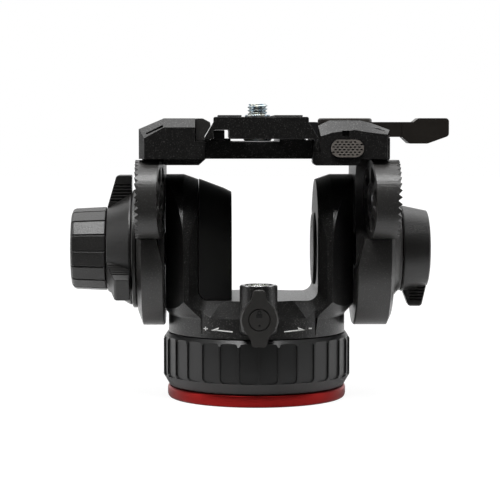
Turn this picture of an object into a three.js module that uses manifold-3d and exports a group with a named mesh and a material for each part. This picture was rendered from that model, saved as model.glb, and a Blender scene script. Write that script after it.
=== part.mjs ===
// Fluid video head, in millimetres, +Z up. The origin is on the pan axis, in the plane of the
// base's lower face. X runs along the tilt axis, to the clamp lever; -Y is the operator's side.
import * as THREE from "three";
import { mergeVertices } from "three/addons/utils/BufferGeometryUtils.js";
import Module from "manifold-3d";

const wasm = await Module();
wasm.setup();

// Clearances
const seat = 0.3; // between a piece and what holds it
const running = 0.5; // between pieces that turn or slide past each other
const overrun = 3; // how far a cut runs past the surface it opens
const weldGap = 1e-4; // corners closer than this are one

// How finely round shapes are faceted
const fineSteps = 56;
const roundSteps = 32;
const smallSteps = 20;
const coilSides = 5;
const coilSteps = 12; // to a turn
const cornerSteps = 4;

// Base
const flangeRadius = 42.5;
const flangeHeight = 5.8;
const flangeFootInset = 1.2;
const flangeEdge = 0.8;
const threadRadius = 4.76; // 3/8 inch tripod thread
const bushRadius = 9;
const spindleFlangeRadius = 14;
const spindleFlangeHeight = 3;
const spindleRadius = 7;
const spindleNoseRadius = 6;
const spindleTop = 46;
const threadDepth = 13;

// Pan drag ring
const ringRadius = 45.4;
const ringPanels = 30;
const ringFootRadius = 42.5;
const ringFootHeight = 5;
const ringTopRadius = 43.4;
const ringTopHeight = 3;
const ringBodyRadius = 44.6; // to the panels' flats
const panelWidth = 8.6;
const panelTop = 30;
const panelFoot = 11.3;
const panelCorner = 1.4;

// Yoke
const yokeBottom = 32.1;
const drumHeight = 16.9; // from the yoke's lower edge to the window
const drumRadius = 42.8;
const yokeHalfWidth = 42.6;
const windowHalfWidth = 28.3;
const windowFloor = yokeBottom + drumHeight;
const windowCorner = 5;
const bevelStart = 28.5;
const bevelReach = 11;
const bevelSlope = 1.6;
const armRadius = 36.2;
const armRidge = 34.9; // half width at the front edge of an arm
const armShoulder = 4; // half depth of the flat outer side
const armTaperStart = 35.3;
const armTaper = 0.35;
const flareStart = 40.5;
const flareRadius = 8.5;
const skirtRadius = 35.5;
const skirtBottom = 9;
const skirtWall = 4.7;
const cavityTop = 28;
const tiltAboveFloor = 23;
const tiltHeight = windowFloor + tiltAboveFloor;
const tiltBore = 12;

// Pan cartridge, bearings and damping disc
const cartridgeBottom = 10;
const cartridgeFloor = 4;
const cartridgeWall = 2.5;
const panBearingRadius = 12;
const upperBearingRadius = 10.5;
const upperBearingHeight = 5;
const spindleBore = 10.8;
const discThickness = 2;
const panDiscHeight = 19;
const nutHeight = 4.5;
const nutRadius = 8.8;
const nutSides = 6;

// Boss, level and pan lock
const bossRadius = 8.8;
const bossDepth = 43; // from the pan axis to the middle of the boss
const bossTop = 57.4;
const bossBottom = 35;
const bezelRadius = 8;
const bezelHeight = 1;
const bezelProud = 0.5;
const bezelWall = 1.4;
const vialRadius = 6.2;
const vialHeight = 5;
const lockHeight = 43;
const lockRadius = 8.8;
const lockThickness = 7;
const lockRootRadius = 7.6;
const lockWingTop = 13.4;
const lockWingTopHalf = 2.6;
const lockWingFoot = 12.6;
const lockWingFootHalf = 3.2;
const lockWingRoot = 5;
const lockWingShare = 0.75; // of the knob's radius, where a wing leaves it
const lockCapRadius = 4.9;
const lockCapHeight = 0.6;
const lockScrewRadius = 3;
const shoeRadius = 2.6;
const shoeLength = 6;

// Inner covers of the arms
const housingReach = 14.2; // from the arm's inner face to where the end is rounded
const housingEdge = 1.9;
const housingHalf = 28;
const housingRise = 34.2; // above the tilt axis
const housingTaper = 4.6;
const springRoomRadius = 19.5;
const springRoomDepth = 11;
const springRadius = 15;
const springWire = 1.4;
const springTurns = 3;
const coverThickness = 1.2;
const coverRadius = 17.5;

// Tilt axles
const axleRadius = 8;
const axleFlange = 11.6;
const tiltBearingRadius = 12;
const tiltBearingWidth = 5.6;

// Side plates
const plateRadius = 37.1;
const leftInner = 44.3;
const leftRim = 54;
const leftOuter = 56.5;
const rightInner = 46.6;
const rightRim = 62;
const rightOuter = 64.5;
const plateFaceRadius = 30.5;
const plateArmHalf = 24;
const plateArmRoot = 31;
const damperRadius = 22.4;
const damperDepth = 6;
const brakePadHeight = 2;

// Rosettes
const rosetteRadius = 18.45;
const rosetteThickness = 10.6;
const rosetteTeeth = 36;
const toothHeight = 1.7;
const toothInnerRadius = 10.5;
const rosetteToe = THREE.MathUtils.degToRad(6);
const rosetteForward = 35;
const rosetteRise = 25.2; // above the tilt axis
const leftRosetteInner = 45.2;
const rightRosetteInner = 51.8;
const rosetteHole = 4.2;
const rosetteBush = 6.5;
const pocketInner = 9;
const pocketOuter = 15.6;
const pocketDepth = 3.2;
const pocketCount = 6;
const pocketShare = 0.36; // half of a pocket, as a share of its pitch

// Knobs on the tilt axis
const baseRingRadius = 28.7;
const baseRingWidth = 3.2;
const dragRootRadius = 27.2;
const dragTipRadius = 20.6;
const dragWidth = 11.6;
const wingCount = 3;
const wingRadius = 35.8;
const wingThickness = 10;
const wingTopInset = 4.4;
const wingEdge = 1;
const knobSides = 15;
const knobRootRadius = 20;
const knobTipRadius = 19.3;
const knobEdge = 1.6;
const knobEnd = 89.4;
const stemRadius = 5;
const collarRadius = 24.6;
const collarWidth = 4.6;
const tiltLockRadius = 20.9;
const tiltLockTip = 18.4;
const tiltLockWidth = 14.7;
const tiltLockDome = 2.2;
const domeShares = [0.8, 0.5, 0];
const tiltWingRadius = 28;
const tiltWingThickness = 9;
const brakeDiscRadius = 21.6;

// Platform, with heights above the lower face of its deck
const deckHeight = 44.2; // of that face, above the tilt axis
const troughTop = 7.8;
const railTop = 9.1;
const troughHalf = 14.5;
const railHalf = 22.2;
const platformHalf = 45;
const leftEdge = 55.5;
const rightEdge = 60.9;
const blockTop = 18.8;
const leftBlockInner = 29.4;
const leftShoulder = 43.8;
const leftShoulderHeight = 13.8;
const crestInner = 27.7;
const crestInnerHeight = 15.4;
const crestStart = 32.8;
const crestTop = 17.8;
const crestEnd = 47;
const crestKnee = 52.2;
const crestKneeHeight = 16.6;
const crestFoot = 13.4;
const bevelDepth = 5;
const bevelDrop = 4.2;
const bevelInset = 2.7;
const shelfStart = 28.9;
const shelfTop = 9.6;
const jawSeat = 8.3;
const ribDepth = 3; // below the deck
const ribHalf = 40;
const ribInner = 24.5;
const ribOuter = 40;
const buttonBossInner = 25;
const buttonBossOuter = 47;
const buttonBossDepth = 12;

// Camera plate and its jaws
const cameraPlateHalf = 70;
const cameraPlateBottom = 9.4;
const cameraPlateTop = 19.3;
const cameraPlateWidest = 25.4;
const cameraPlateNeck = 21.2;
const flankFoot = 1.7;
const flankHead = 7;
const notchOuter = 21;
const notchInner = 13.5;
const notchDepth = 4;
const webThickness = 3.6;
const pocketHalf = 11.5;
const slotHalf = 5.4;
const slotReach = 45;
const padInner = 7.4;
const padOuter = 18.8;
const padHeight = 0.8;
const plateLip = 3; // of the camera plate, ahead of its pocket
const jawLength = 60;
const fixedJawLength = 76;
const jawInner = 22.6;
const jawKnee = 15.3;
const jawOuter = 27.1;
const jawTop = 16.8;
const jawChamfer = 2;
const screwForward = 20;
const screwTop = 25.7;
const screwHeadRadius = 8.4;
const screwHeadHeight = 3;
const screwFootRadius = 5.4;
const screwFoot = 1.2;
const washerRadius = 7.1;
const stopOuter = 20.6;
const stopInner = 16.1;
const stopTop = 12.1;
const stopFront = 40;
const stopLength = 22;

// Clamp lever
const leverX = 41;
const leverForward = 26;
const hubRadius = 12.4;
const leverTop = 18.9;
const leverRoof = 2;
const leverEdge = 0.8;
const barTop = 17.1;
const barHalf = 6;
const paddleHalf = 7;
const paddleStart = 73;
const paddleDrop = 3.1;
const paddleEdge = 1.6;
const pinRadius = 3;
const pinDepth = 6;
const swingRadius = 28.4;
const swingReach = 60;
const swingInner = 44;
const swingFront = 39.6;

// Release button
const buttonX = 40.9;
const buttonHeight = 4.9;
const buttonHalfWidth = 7.6;
const buttonHalfHeight = 4.05;
const buttonProud = 1.5;
const buttonLength = 9;
const buttonRoom = 5; // behind the button, for its spring
const buttonSpringRadius = 2.4;
const buttonSpringWire = 0.45;
const buttonSpringTurns = 3;

// Materials, with the colours of the photograph
const paint = (colour, roughness, metalness) =>
  new THREE.MeshStandardMaterial({ color: colour, roughness, metalness });
const castBlack = paint(0x242426, 0.55, 0.2);
const mouldedBlack = paint(0x1d1d1f, 0.5, 0);
const leverBrown = paint(0x3a3632, 0.4, 0.3);
const anodisedRed = paint(0x8c2020, 0.35, 0.7);
const rubberBlack = paint(0x161617, 0.85, 0);
const zincSteel = paint(0x9fb3c0, 0.3, 1);
const plainSteel = paint(0x8f8f92, 0.35, 1);
const buttonGrey = paint(0x8b8680, 0.45, 0.6);
const bronze = paint(0x9a7440, 0.4, 1);
const vialGreen = paint(0xc9d84a, 0.1, 0);

const point = (x, y) => new THREE.Vector2(x, y);
const fullTurn = 2 * Math.PI;

// Turns that lay a shape's own axes along the part's: its first two axes and its depth.
// Along X the shape holds y and z; forward it holds x and z, and its depth grows towards -Y.
const alongX = new THREE.Matrix4().makeBasis(
  new THREE.Vector3(0, 1, 0),
  new THREE.Vector3(0, 0, 1),
  new THREE.Vector3(1, 0, 0),
);
const forward = new THREE.Matrix4().makeBasis(
  new THREE.Vector3(1, 0, 0),
  new THREE.Vector3(0, 0, 1),
  new THREE.Vector3(0, -1, 0),
);
const alongZ = new THREE.Matrix4();

// A closed geometry as a solid: shared corners merged, and collapsed faces dropped.
function solid(geometry) {
  const bare = geometry.index ? geometry.toNonIndexed() : geometry.clone();
  bare.deleteAttribute("normal");
  bare.deleteAttribute("uv");
  const merged = mergeVertices(bare, weldGap);
  const index = merged.index.array;
  const kept = [];
  for (let i = 0; i < index.length; i += 3) {
    const [a, b, c] = [index[i], index[i + 1], index[i + 2]];
    if (a !== b && b !== c && c !== a) kept.push(a, b, c);
  }
  return new wasm.Manifold(
    new wasm.Mesh({
      numProp: 3,
      vertProperties: merged.attributes.position.array,
      triVerts: new Uint32Array(kept),
    }),
  );
}

const join = (first, ...rest) => rest.reduce((sum, next) => sum.add(next), first);
const cut = (first, ...tools) => tools.reduce((left, tool) => left.subtract(tool), first);

// Corners [x, y, radius] as a closed outline, with each radius drawn as an arc.
function outline(corners, steps = cornerSteps) {
  const points = [];
  corners.forEach(([x, y, radius = 0], i) => {
    const corner = point(x, y);
    if (radius === 0) {
      points.push(corner);
      return;
    }
    const [lastX, lastY] = corners[(i + corners.length - 1) % corners.length];
    const [nextX, nextY] = corners[(i + 1) % corners.length];
    const back = point(lastX, lastY).sub(corner).normalize();
    const ahead = point(nextX, nextY).sub(corner).normalize();
    const half = Math.acos(back.dot(ahead)) / 2;
    const reach = radius / Math.tan(half);
    const middle = back.clone().add(ahead).normalize();
    const centre = corner.clone().addScaledVector(middle, radius / Math.sin(half));
    const start = corner.clone().addScaledVector(back, reach).sub(centre).angle();
    const end = corner.clone().addScaledVector(ahead, reach).sub(centre).angle();
    const sweep = THREE.MathUtils.euclideanModulo(end - start + Math.PI, fullTurn) - Math.PI;
    for (let k = 0; k <= steps; k++) {
      const angle = start + (sweep * k) / steps;
      points.push(point(Math.cos(angle), Math.sin(angle)).multiplyScalar(radius).add(centre));
    }
  });
  return points;
}

// A round outline: a whole circle, or a stadium when the two halves are pulled apart.
function roundOutline(radius, steps, spreadX = 0, spreadY = 0) {
  const points = [];
  for (let k = 0; k < steps; k++) {
    const angle = (fullTurn * (k + 0.5)) / steps;
    const x = radius * Math.cos(angle);
    const y = radius * Math.sin(angle);
    points.push(point(x + Math.sign(x) * spreadX, y + Math.sign(y) * spreadY));
  }
  return points;
}

// An outline pushed along an axis, from one level to another. A bevel tapers both ends.
function extrude(points, from, to, axis = alongZ, bevel = {}) {
  const thickness = bevel.thickness ?? 0;
  const options = {
    depth: to - from - 2 * thickness,
    bevelEnabled: thickness > 0,
    bevelThickness: thickness,
    bevelSize: bevel.size ?? 0,
    bevelOffset: bevel.offset ?? 0,
    bevelSegments: bevel.segments ?? 1,
  };
  const geometry = new THREE.ExtrudeGeometry(new THREE.Shape(points), options);
  geometry.translate(0, 0, from + thickness);
  geometry.applyMatrix4(axis);
  return solid(geometry);
}

// A profile of [radius, height] turned about an axis. Off the axis it closes on itself.
function revolve(profile, steps, axis = alongZ, phase = 0) {
  const points = profile.map(([radius, height]) => point(radius, height));
  if (profile[0][0] > 0) points.push(points[0].clone());
  const geometry = new THREE.LatheGeometry(points, steps, phase);
  geometry.rotateX(Math.PI / 2);
  geometry.applyMatrix4(axis);
  return solid(geometry);
}

// A ring or a disc between two levels.
function tube(inner, outer, from, to, steps = smallSteps, axis = alongZ) {
  const profile = [[outer, from], [outer, to], [inner, to], [inner, from]];
  return revolve(inner > 0 ? profile : [[0, from], [outer, from], [outer, to], [0, to]], steps, axis);
}

// A skin over outlines of equally many points, one at each level of the axis.
function loft(outlines, levels, axis = alongZ) {
  const count = outlines[0].length;
  const positions = outlines.flatMap((points, i) => points.flatMap((p) => [p.x, p.y, levels[i]]));
  const faces = [];
  for (let i = 0; i + 1 < outlines.length; i++) {
    for (let k = 0; k < count; k++) {
      const next = (k + 1) % count;
      const [a, b] = [i * count + k, i * count + next];
      faces.push(a, b, b + count, a, b + count, a + count);
    }
  }
  const caps = (points) => THREE.ShapeUtils.triangulateShape(points, []);
  const last = (outlines.length - 1) * count;
  caps(outlines[0]).forEach(([a, b, c]) => faces.push(a, c, b));
  caps(outlines.at(-1)).forEach(([a, b, c]) => faces.push(last + a, last + b, last + c));
  const geometry = new THREE.BufferGeometry();
  geometry.setAttribute("position", new THREE.Float32BufferAttribute(positions, 3));
  geometry.setIndex(faces);
  geometry.applyMatrix4(axis);
  return solid(geometry);
}

// A box between two corners.
function box(low, high) {
  const size = high.map((value, i) => value - low[i]);
  const geometry = new THREE.BoxGeometry(...size);
  geometry.translate(...high.map((value, i) => (value + low[i]) / 2));
  return solid(geometry);
}

// A solid moved or turned into its place.
function placed(body, matrix) {
  return body.transform(matrix.elements);
}
const shift = (x, y, z) => new THREE.Matrix4().makeTranslation(x, y, z);
const mirrorX = new THREE.Matrix4().makeScale(-1, 1, 1);

// A coil of one unbroken tube: a section pushed along a helix about an axis.
function coil(radius, wire, turns, from, to, axis) {
  class Helix extends THREE.Curve {
    getPoint(share) {
      const angle = fullTurn * turns * share;
      const height = from + (to - from) * share;
      return new THREE.Vector3(radius * Math.cos(angle), radius * Math.sin(angle), height);
    }
  }
  const section = new THREE.Shape(roundOutline(wire, coilSides));
  const options = { steps: coilSteps * turns, extrudePath: new Helix() };
  return solid(new THREE.ExtrudeGeometry(section, options).applyMatrix4(axis));
}

function geometryOf(body) {
  const mesh = body.getMesh();
  const geometry = new THREE.BufferGeometry();
  geometry.setAttribute("position", new THREE.BufferAttribute(mesh.vertProperties, 3));
  geometry.setIndex(new THREE.BufferAttribute(mesh.triVerts, 1));
  return geometry;
}

function piece(name, body, material, group) {
  const mesh = new THREE.Mesh(geometryOf(body), material);
  mesh.name = name;
  group.add(mesh);
  return mesh;
}

const head = new THREE.Group();
const cradle = new THREE.Group(); // all that tilts, with its origin on the tilt axis
cradle.position.z = tiltHeight;
head.add(cradle);

// Base: the red flange that stands on the tripod, its bush and the pan spindle
function makeBase() {
  const foot = flangeRadius - flangeFootInset;
  const flange = revolve(
    [
      [bushRadius + seat, 0],
      [foot, 0],
      [flangeRadius, flangeHeight - 2 * flangeEdge],
      [flangeRadius, flangeHeight - flangeEdge],
      [flangeRadius - flangeEdge, flangeHeight],
      [bushRadius + seat, flangeHeight],
    ],
    fineSteps,
  );
  piece("base_flange", flange, anodisedRed, head);
  piece("base_bush", tube(threadRadius, bushRadius, 0, flangeHeight - seat), plainSteel, head);
  const spindleFoot = flangeHeight + spindleFlangeHeight;
  const spindle = revolve(
    [
      [threadRadius, flangeHeight],
      [spindleFlangeRadius, flangeHeight],
      [spindleFlangeRadius, spindleFoot],
      [spindleRadius, spindleFoot],
      [spindleRadius, cavityTop + upperBearingHeight + nutHeight + 2 * seat],
      [spindleNoseRadius, cavityTop + upperBearingHeight + nutHeight + 2 * seat],
      [spindleNoseRadius, spindleTop],
      [0, spindleTop],
      [0, threadDepth],
      [threadRadius, threadDepth],
    ],
    smallSteps,
  );
  piece("pan_spindle", spindle, plainSteel, head);
  const nutFoot = cavityTop + upperBearingHeight + 2 * seat;
  const nut = extrude(roundOutline(nutRadius, nutSides), nutFoot, nutFoot + nutHeight);
  const nutBore = tube(0, spindleRadius + seat, nutFoot - overrun, nutFoot + nutHeight + overrun);
  piece("spindle_nut", cut(nut, nutBore), plainSteel, head);
  const disc = [
    [spindleRadius + seat, panDiscHeight],
    [skirtRadius - skirtWall - cartridgeWall - 2 * running, panDiscHeight],
    [skirtRadius - skirtWall - cartridgeWall - 2 * running, panDiscHeight + discThickness],
    [spindleRadius + seat, panDiscHeight + discThickness],
  ];
  piece("pan_fixed_disc", revolve(disc, roundSteps), bronze, head);
}

// Pan drag ring: a hollow ring with bevelled ends, into which flat panels are cut all round
function makePanRing() {
  const bottom = flangeHeight + running;
  const top = yokeBottom - running;
  const profile = [
    [skirtRadius + running, bottom],
    [ringFootRadius, bottom],
    [ringRadius, bottom + ringFootHeight],
    [ringRadius, top - ringTopHeight],
    [ringTopRadius, top],
    [skirtRadius + running, top],
  ];
  const half = panelWidth / 2;
  const panel = extrude(
    [
      point(-half, panelFoot + panelCorner),
      point(-half + panelCorner, panelFoot),
      point(half - panelCorner, panelFoot),
      point(half, panelFoot + panelCorner),
      point(half, panelTop - panelCorner),
      point(half - panelCorner, panelTop),
      point(-half + panelCorner, panelTop),
      point(-half, panelTop - panelCorner),
    ],
    ringBodyRadius,
    ringRadius + overrun,
    forward,
  );
  const panels = Array.from({ length: ringPanels }, (_, i) => {
    const turn = new THREE.Matrix4().makeRotationZ((fullTurn * (i + 0.5)) / ringPanels);
    return placed(panel, turn);
  });
  piece("pan_drag_ring", cut(revolve(profile, 2 * ringPanels), ...panels), mouldedBlack, head);
}

// Yoke: a round drum that carries two arms with a bevelled window between them, a skirt that
// reaches down into the drag ring, and the boss of the spirit level
function armOutline(halfDepth, top, bottom, steps = fineSteps / 2) {
  const points = [point(-halfDepth, bottom), point(halfDepth, bottom)];
  for (let k = 0; k <= steps; k++) {
    const angle = (Math.PI * k) / steps;
    points.push(point(halfDepth * Math.cos(angle), top - halfDepth * (1 - Math.sin(angle))));
  }
  return points;
}

function makeYoke() {
  const top = tiltHeight + armRadius;
  const flare = [[0, yokeBottom], [drumRadius, yokeBottom], [drumRadius, flareStart]];
  for (let k = 1; k <= cornerSteps; k++) {
    const angle = (Math.PI / 2) * (k / cornerSteps);
    const radius = drumRadius + flareRadius * (1 - Math.cos(angle));
    flare.push([radius, flareStart + flareRadius * Math.sin(angle)]);
  }
  const widest = yokeHalfWidth + armRadius;
  flare.push([widest, flareStart + flareRadius], [widest, top + overrun], [0, top + overrun]);
  const plan = [
    [-yokeHalfWidth, -armShoulder],
    [-armRidge, -armRadius],
    [armRidge, -armRadius],
    [yokeHalfWidth, -armShoulder],
    [yokeHalfWidth, armShoulder],
    [armRidge, armRadius],
    [-armRidge, armRadius],
    [-yokeHalfWidth, armShoulder],
  ].map(([x, y]) => point(x, y));
  const taperEnd = armTaperStart - windowHalfWidth + overrun;
  const inside = armTaperStart - taperEnd;
  const slim = armRadius - armTaper * taperEnd;
  const low = yokeBottom - overrun;
  const halves = [
    [-yokeHalfWidth - overrun, armRadius],
    [-armTaperStart, armRadius],
    [-inside, slim],
    [inside, slim],
    [armTaperStart, armRadius],
    [yokeHalfWidth + overrun, armRadius],
  ];
  const arch = loft(
    halves.map(([, half]) => armOutline(half, tiltHeight + half, low)),
    halves.map(([x]) => x),
    alongX,
  );
  const arms = extrude(plan, yokeBottom, top).intersect(revolve(flare, fineSteps)).intersect(arch);
  const drum = revolve(
    [[0, yokeBottom], [drumRadius, yokeBottom], [drumRadius, windowFloor], [0, windowFloor]],
    fineSteps,
  );
  const windowTop = top + bevelReach;
  const windowShape = outline([
    [-windowHalfWidth, windowFloor, windowCorner],
    [windowHalfWidth, windowFloor, windowCorner],
    [windowHalfWidth, windowTop],
    [-windowHalfWidth, windowTop],
  ]);
  const widening = bevelReach * bevelSlope;
  const windowCut = extrude(
    windowShape,
    -bevelStart - widening,
    bevelStart + widening,
    forward,
    { thickness: widening, size: -bevelReach, offset: bevelReach },
  );
  const skirt = tube(skirtRadius - skirtWall, skirtRadius, skirtBottom, yokeBottom + overrun, fineSteps);
  const ceiling = tube(0, skirtRadius - skirtWall / 2, cavityTop, yokeBottom + overrun, fineSteps);
  const bossFloor = revolve(
    [[0, bossBottom], [bossRadius, bossBottom], [bossRadius, bossTop], [0, bossTop]],
    smallSteps,
  );
  const seatOfBezel = tube(0, bezelRadius + seat, bossTop - bezelHeight, bossTop + overrun);
  const seatOfVial = tube(0, vialRadius + seat, bossTop - vialHeight - seat, bossTop + overrun);
  const toBoss = shift(0, -bossDepth, 0);
  const spindleRoom = tube(0, spindleBore, cavityTop - overrun, spindleTop + running);
  const screwRoom = placed(
    tube(0, lockScrewRadius + seat, 0, bossDepth + bossRadius + overrun, smallSteps, forward),
    shift(0, 0, lockHeight),
  );
  const tiltRoom = placed(
    tube(0, tiltBore, -yokeHalfWidth - overrun, yokeHalfWidth + overrun, roundSteps, alongX),
    shift(0, 0, tiltHeight),
  );
  const frame = cut(
    join(cut(join(drum, arms), windowCut), skirt, ceiling, placed(bossFloor, toBoss)),
    placed(seatOfBezel, toBoss),
    placed(seatOfVial, toBoss),
    spindleRoom,
    screwRoom,
    tiltRoom,
  );
  piece("yoke_frame", frame, castBlack, head);
}

// What turns inside the drum, and the spirit level and brake shoe in the boss
function makePanInside() {
  const outer = skirtRadius - skirtWall - seat;
  const floor = cartridgeBottom + cartridgeFloor;
  const cartridge = [
    [panBearingRadius + seat, cartridgeBottom],
    [outer, cartridgeBottom],
    [outer, cavityTop - seat],
    [outer - cartridgeWall, cavityTop - seat],
    [outer - cartridgeWall, floor],
    [panBearingRadius + seat, floor],
  ];
  piece("pan_cartridge", revolve(cartridge, roundSteps), plainSteel, head);
  const shaft = spindleRadius + seat;
  const lower = tube(shaft, panBearingRadius, cartridgeBottom, floor);
  piece("pan_lower_bearing", lower, bronze, head);
  const upperFoot = cavityTop + seat;
  const upper = tube(shaft, upperBearingRadius, upperFoot, upperFoot + upperBearingHeight);
  piece("pan_upper_bearing", upper, bronze, head);

  const toBoss = shift(0, -bossDepth, 0);
  const ring = tube(bezelRadius - bezelWall, bezelRadius, bossTop - bezelHeight, bossTop + bezelProud);
  piece("level_bezel", placed(ring, toBoss), zincSteel, head);
  const vial = tube(0, vialRadius, bossTop - vialHeight, bossTop);
  piece("level_vial", placed(vial, toBoss), vialGreen, head);
  const shoeStart = spindleNoseRadius + seat;
  const shoe = tube(0, shoeRadius, shoeStart, shoeStart + shoeLength, smallSteps / 2, forward);
  piece("pan_brake_shoe", placed(shoe, shift(0, 0, lockHeight)), bronze, head);
}

// Pan lock: a round knob with a wing above and a wider one below, its screw and its cap
function makePanLock() {
  const lock = new THREE.Group();
  lock.position.z = lockHeight;
  head.add(lock);
  const back = bossDepth + bossRadius + running;
  const front = back + lockThickness;
  const body = revolve(
    [
      [0, back],
      [lockRootRadius, back],
      [lockRadius, back + lockThickness / 3],
      [lockRadius, front - lockCapHeight],
      [lockRadius - lockCapHeight, front],
      [0, front],
    ],
    roundSteps,
    forward,
  );
  const wing = (reach, half) =>
    outline([
      [-lockWingRoot, 0],
      [-lockWingRoot, lockRadius * lockWingShare],
      [-half, reach, half / 2],
      [half, reach, half / 2],
      [lockWingRoot, lockRadius * lockWingShare],
      [lockWingRoot, 0],
    ]).reverse();
  const upper = extrude(wing(lockWingTop, lockWingTopHalf), back, front - lockCapHeight, forward);
  const lower = extrude(wing(lockWingFoot, lockWingFootHalf), back, front - lockCapHeight, forward);
  const capFoot = front - 2 * lockCapHeight;
  const capRoom = tube(0, lockCapRadius + seat, capFoot, front + overrun, smallSteps, forward);
  const screwEnd = back + lockThickness / 2;
  const screwRoom = tube(0, lockScrewRadius + seat, back - overrun, screwEnd + seat, smallSteps, forward);
  const turned = placed(lower, new THREE.Matrix4().makeRotationY(Math.PI));
  const knob = cut(join(body, upper, turned), capRoom, screwRoom);
  piece("pan_lock_knob", knob, mouldedBlack, lock);
  const cap = tube(0, lockCapRadius, capFoot, front, smallSteps, forward);
  piece("pan_lock_cap", cap, mouldedBlack, lock);
  const screwStart = spindleNoseRadius + shoeLength + 2 * seat;
  const screw = tube(0, lockScrewRadius, screwStart, screwEnd, smallSteps / 2, forward);
  piece("pan_lock_screw", screw, plainSteel, lock);
}

// Inner covers of the arms and the axles that the arms carry
function makeArmInsides() {
  const inner = windowHalfWidth - seat;
  const levels = [-inner, -inner + housingReach - housingEdge, -inner + housingReach + housingEdge];
  const sizes = [0, housingTaper, housingTaper + housingEdge];
  const low = windowFloor - overrun;
  const housingTop = tiltHeight + housingRise;
  const shape = loft(
    sizes.map((less) => armOutline(housingHalf - less / 2, housingTop - less, low)),
    levels,
    alongX,
  );
  const fit = outline([
    [-windowHalfWidth + seat, windowFloor + seat, windowCorner],
    [windowHalfWidth - seat, windowFloor + seat, windowCorner],
    [windowHalfWidth - seat, housingTop + overrun],
    [-windowHalfWidth + seat, housingTop + overrun],
  ]);
  const trimmed = shape.intersect(extrude(fit, -armRadius, armRadius, forward));
  const toTilt = shift(0, 0, tiltHeight);
  const roomEnd = -inner + springRoomDepth;
  const room = tube(0, springRoomRadius, -inner - overrun, roomEnd, roundSteps, alongX);
  piece("spring_housing", cut(trimmed, placed(room, toTilt)), mouldedBlack, head);
  const springEnds = [-inner + 2 * springWire, roomEnd - springWire - seat];
  const spring = coil(springRadius, springWire, springTurns, ...springEnds, alongX);
  piece("counterbalance_spring", placed(spring, toTilt), plainSteel, head);
  const cover = revolve(
    [
      [0, inner - coverThickness],
      [coverRadius - coverThickness, inner - coverThickness],
      [coverRadius, inner],
      [0, inner],
    ],
    roundSteps,
    alongX,
  );
  piece("right_inner_cover", placed(cover, toTilt), mouldedBlack, head);

  const flangeStart = windowHalfWidth + seat;
  const flangeEnd = yokeHalfWidth - seat;
  const axle = (nose, end) =>
    revolve(
      [
        ...nose,
        [axleFlange, flangeStart],
        [axleFlange, flangeEnd],
        [axleRadius, flangeEnd],
        [axleRadius, end],
        [0, end],
      ],
      smallSteps,
      alongX,
    );
  const leftEnd = leftOuter - running;
  const noseStart = -roomEnd + running;
  const nose = [[0, noseStart], [axleRadius, noseStart], [axleRadius, flangeStart]];
  const left = placed(axle(nose, leftEnd), mirrorX);
  piece("left_tilt_axle", placed(left, toTilt), plainSteel, head);
  const rightEnd = rightInner + damperDepth + seat + tiltBearingWidth;
  const right = axle([[0, flangeStart]], rightEnd);
  piece("right_tilt_axle", placed(right, toTilt), plainSteel, head);

  const axleFit = axleRadius + seat;
  const fixedDisc = (start) =>
    tube(axleFit, damperRadius - 2 * running, start, start + discThickness, roundSteps, alongX);
  const leftDisc = placed(fixedDisc(leftInner + running), mirrorX);
  piece("tilt_fixed_disc", placed(leftDisc, toTilt), bronze, head);
  const brakeStart = rightInner + running;
  const brake = tube(axleFit, brakeDiscRadius, brakeStart, brakeStart + discThickness, roundSteps, alongX);
  piece("tilt_brake_disc", placed(brake, toTilt), plainSteel, head);
}

// Side plates: round housings about the tilt axis, with an arm that carries the platform and a
// notch in which the rosette sits
function rosetteGroup(side, inner) {
  const group = new THREE.Group();
  group.position.set(side * inner, -rosetteForward, rosetteRise);
  group.rotation.z = side > 0 ? rosetteToe : Math.PI - rosetteToe;
  group.updateMatrix();
  return group;
}

function makeSidePlate(name, side, sizes) {
  const { inner, rim, outer, armOuter, discRoom, rosetteInner } = sizes;
  const bore = tiltBearingRadius + seat;
  const profile = [
    [bore, inner],
    [plateRadius, inner],
    [plateRadius, rim],
    [plateFaceRadius, outer],
    [bore, outer],
  ];
  const disc = revolve(profile, fineSteps, alongX);
  const armTop = deckHeight - seat;
  const arm = extrude(
    [
      point(-plateArmRoot, 0),
      point(plateArmRoot, 0),
      point(plateArmHalf, armTop),
      point(-plateArmHalf, armTop),
    ],
    inner,
    armOuter,
    alongX,
  );
  const room = tube(0, discRoom, inner - overrun, inner + damperDepth, fineSteps, alongX);
  const through = tube(0, bore, inner, outer, roundSteps, alongX);
  const notch = tube(0, rosetteRadius + seat, -armOuter, outer, roundSteps, alongX);
  const mirror = side > 0 ? new THREE.Matrix4() : mirrorX;
  const body = placed(cut(join(disc, arm), room, through), mirror);
  const group = rosetteGroup(side, rosetteInner);
  const limit = box(
    [-outer - overrun, -plateRadius - 2 * rosetteRadius, -plateRadius],
    [outer + overrun, plateRadius, plateRadius + rosetteRadius],
  );
  const half = side > 0 ? [0, rightOuter + overrun] : [-leftOuter - overrun, 0];
  const sideLimit = box(
    [half[0], -rosetteForward - 2 * rosetteRadius, -plateRadius],
    [half[1], rosetteForward, plateRadius + rosetteRadius],
  );
  const tool = placed(notch, group.matrix).intersect(limit).intersect(sideLimit);
  piece(name, cut(body, tool), castBlack, cradle);
}

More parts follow.
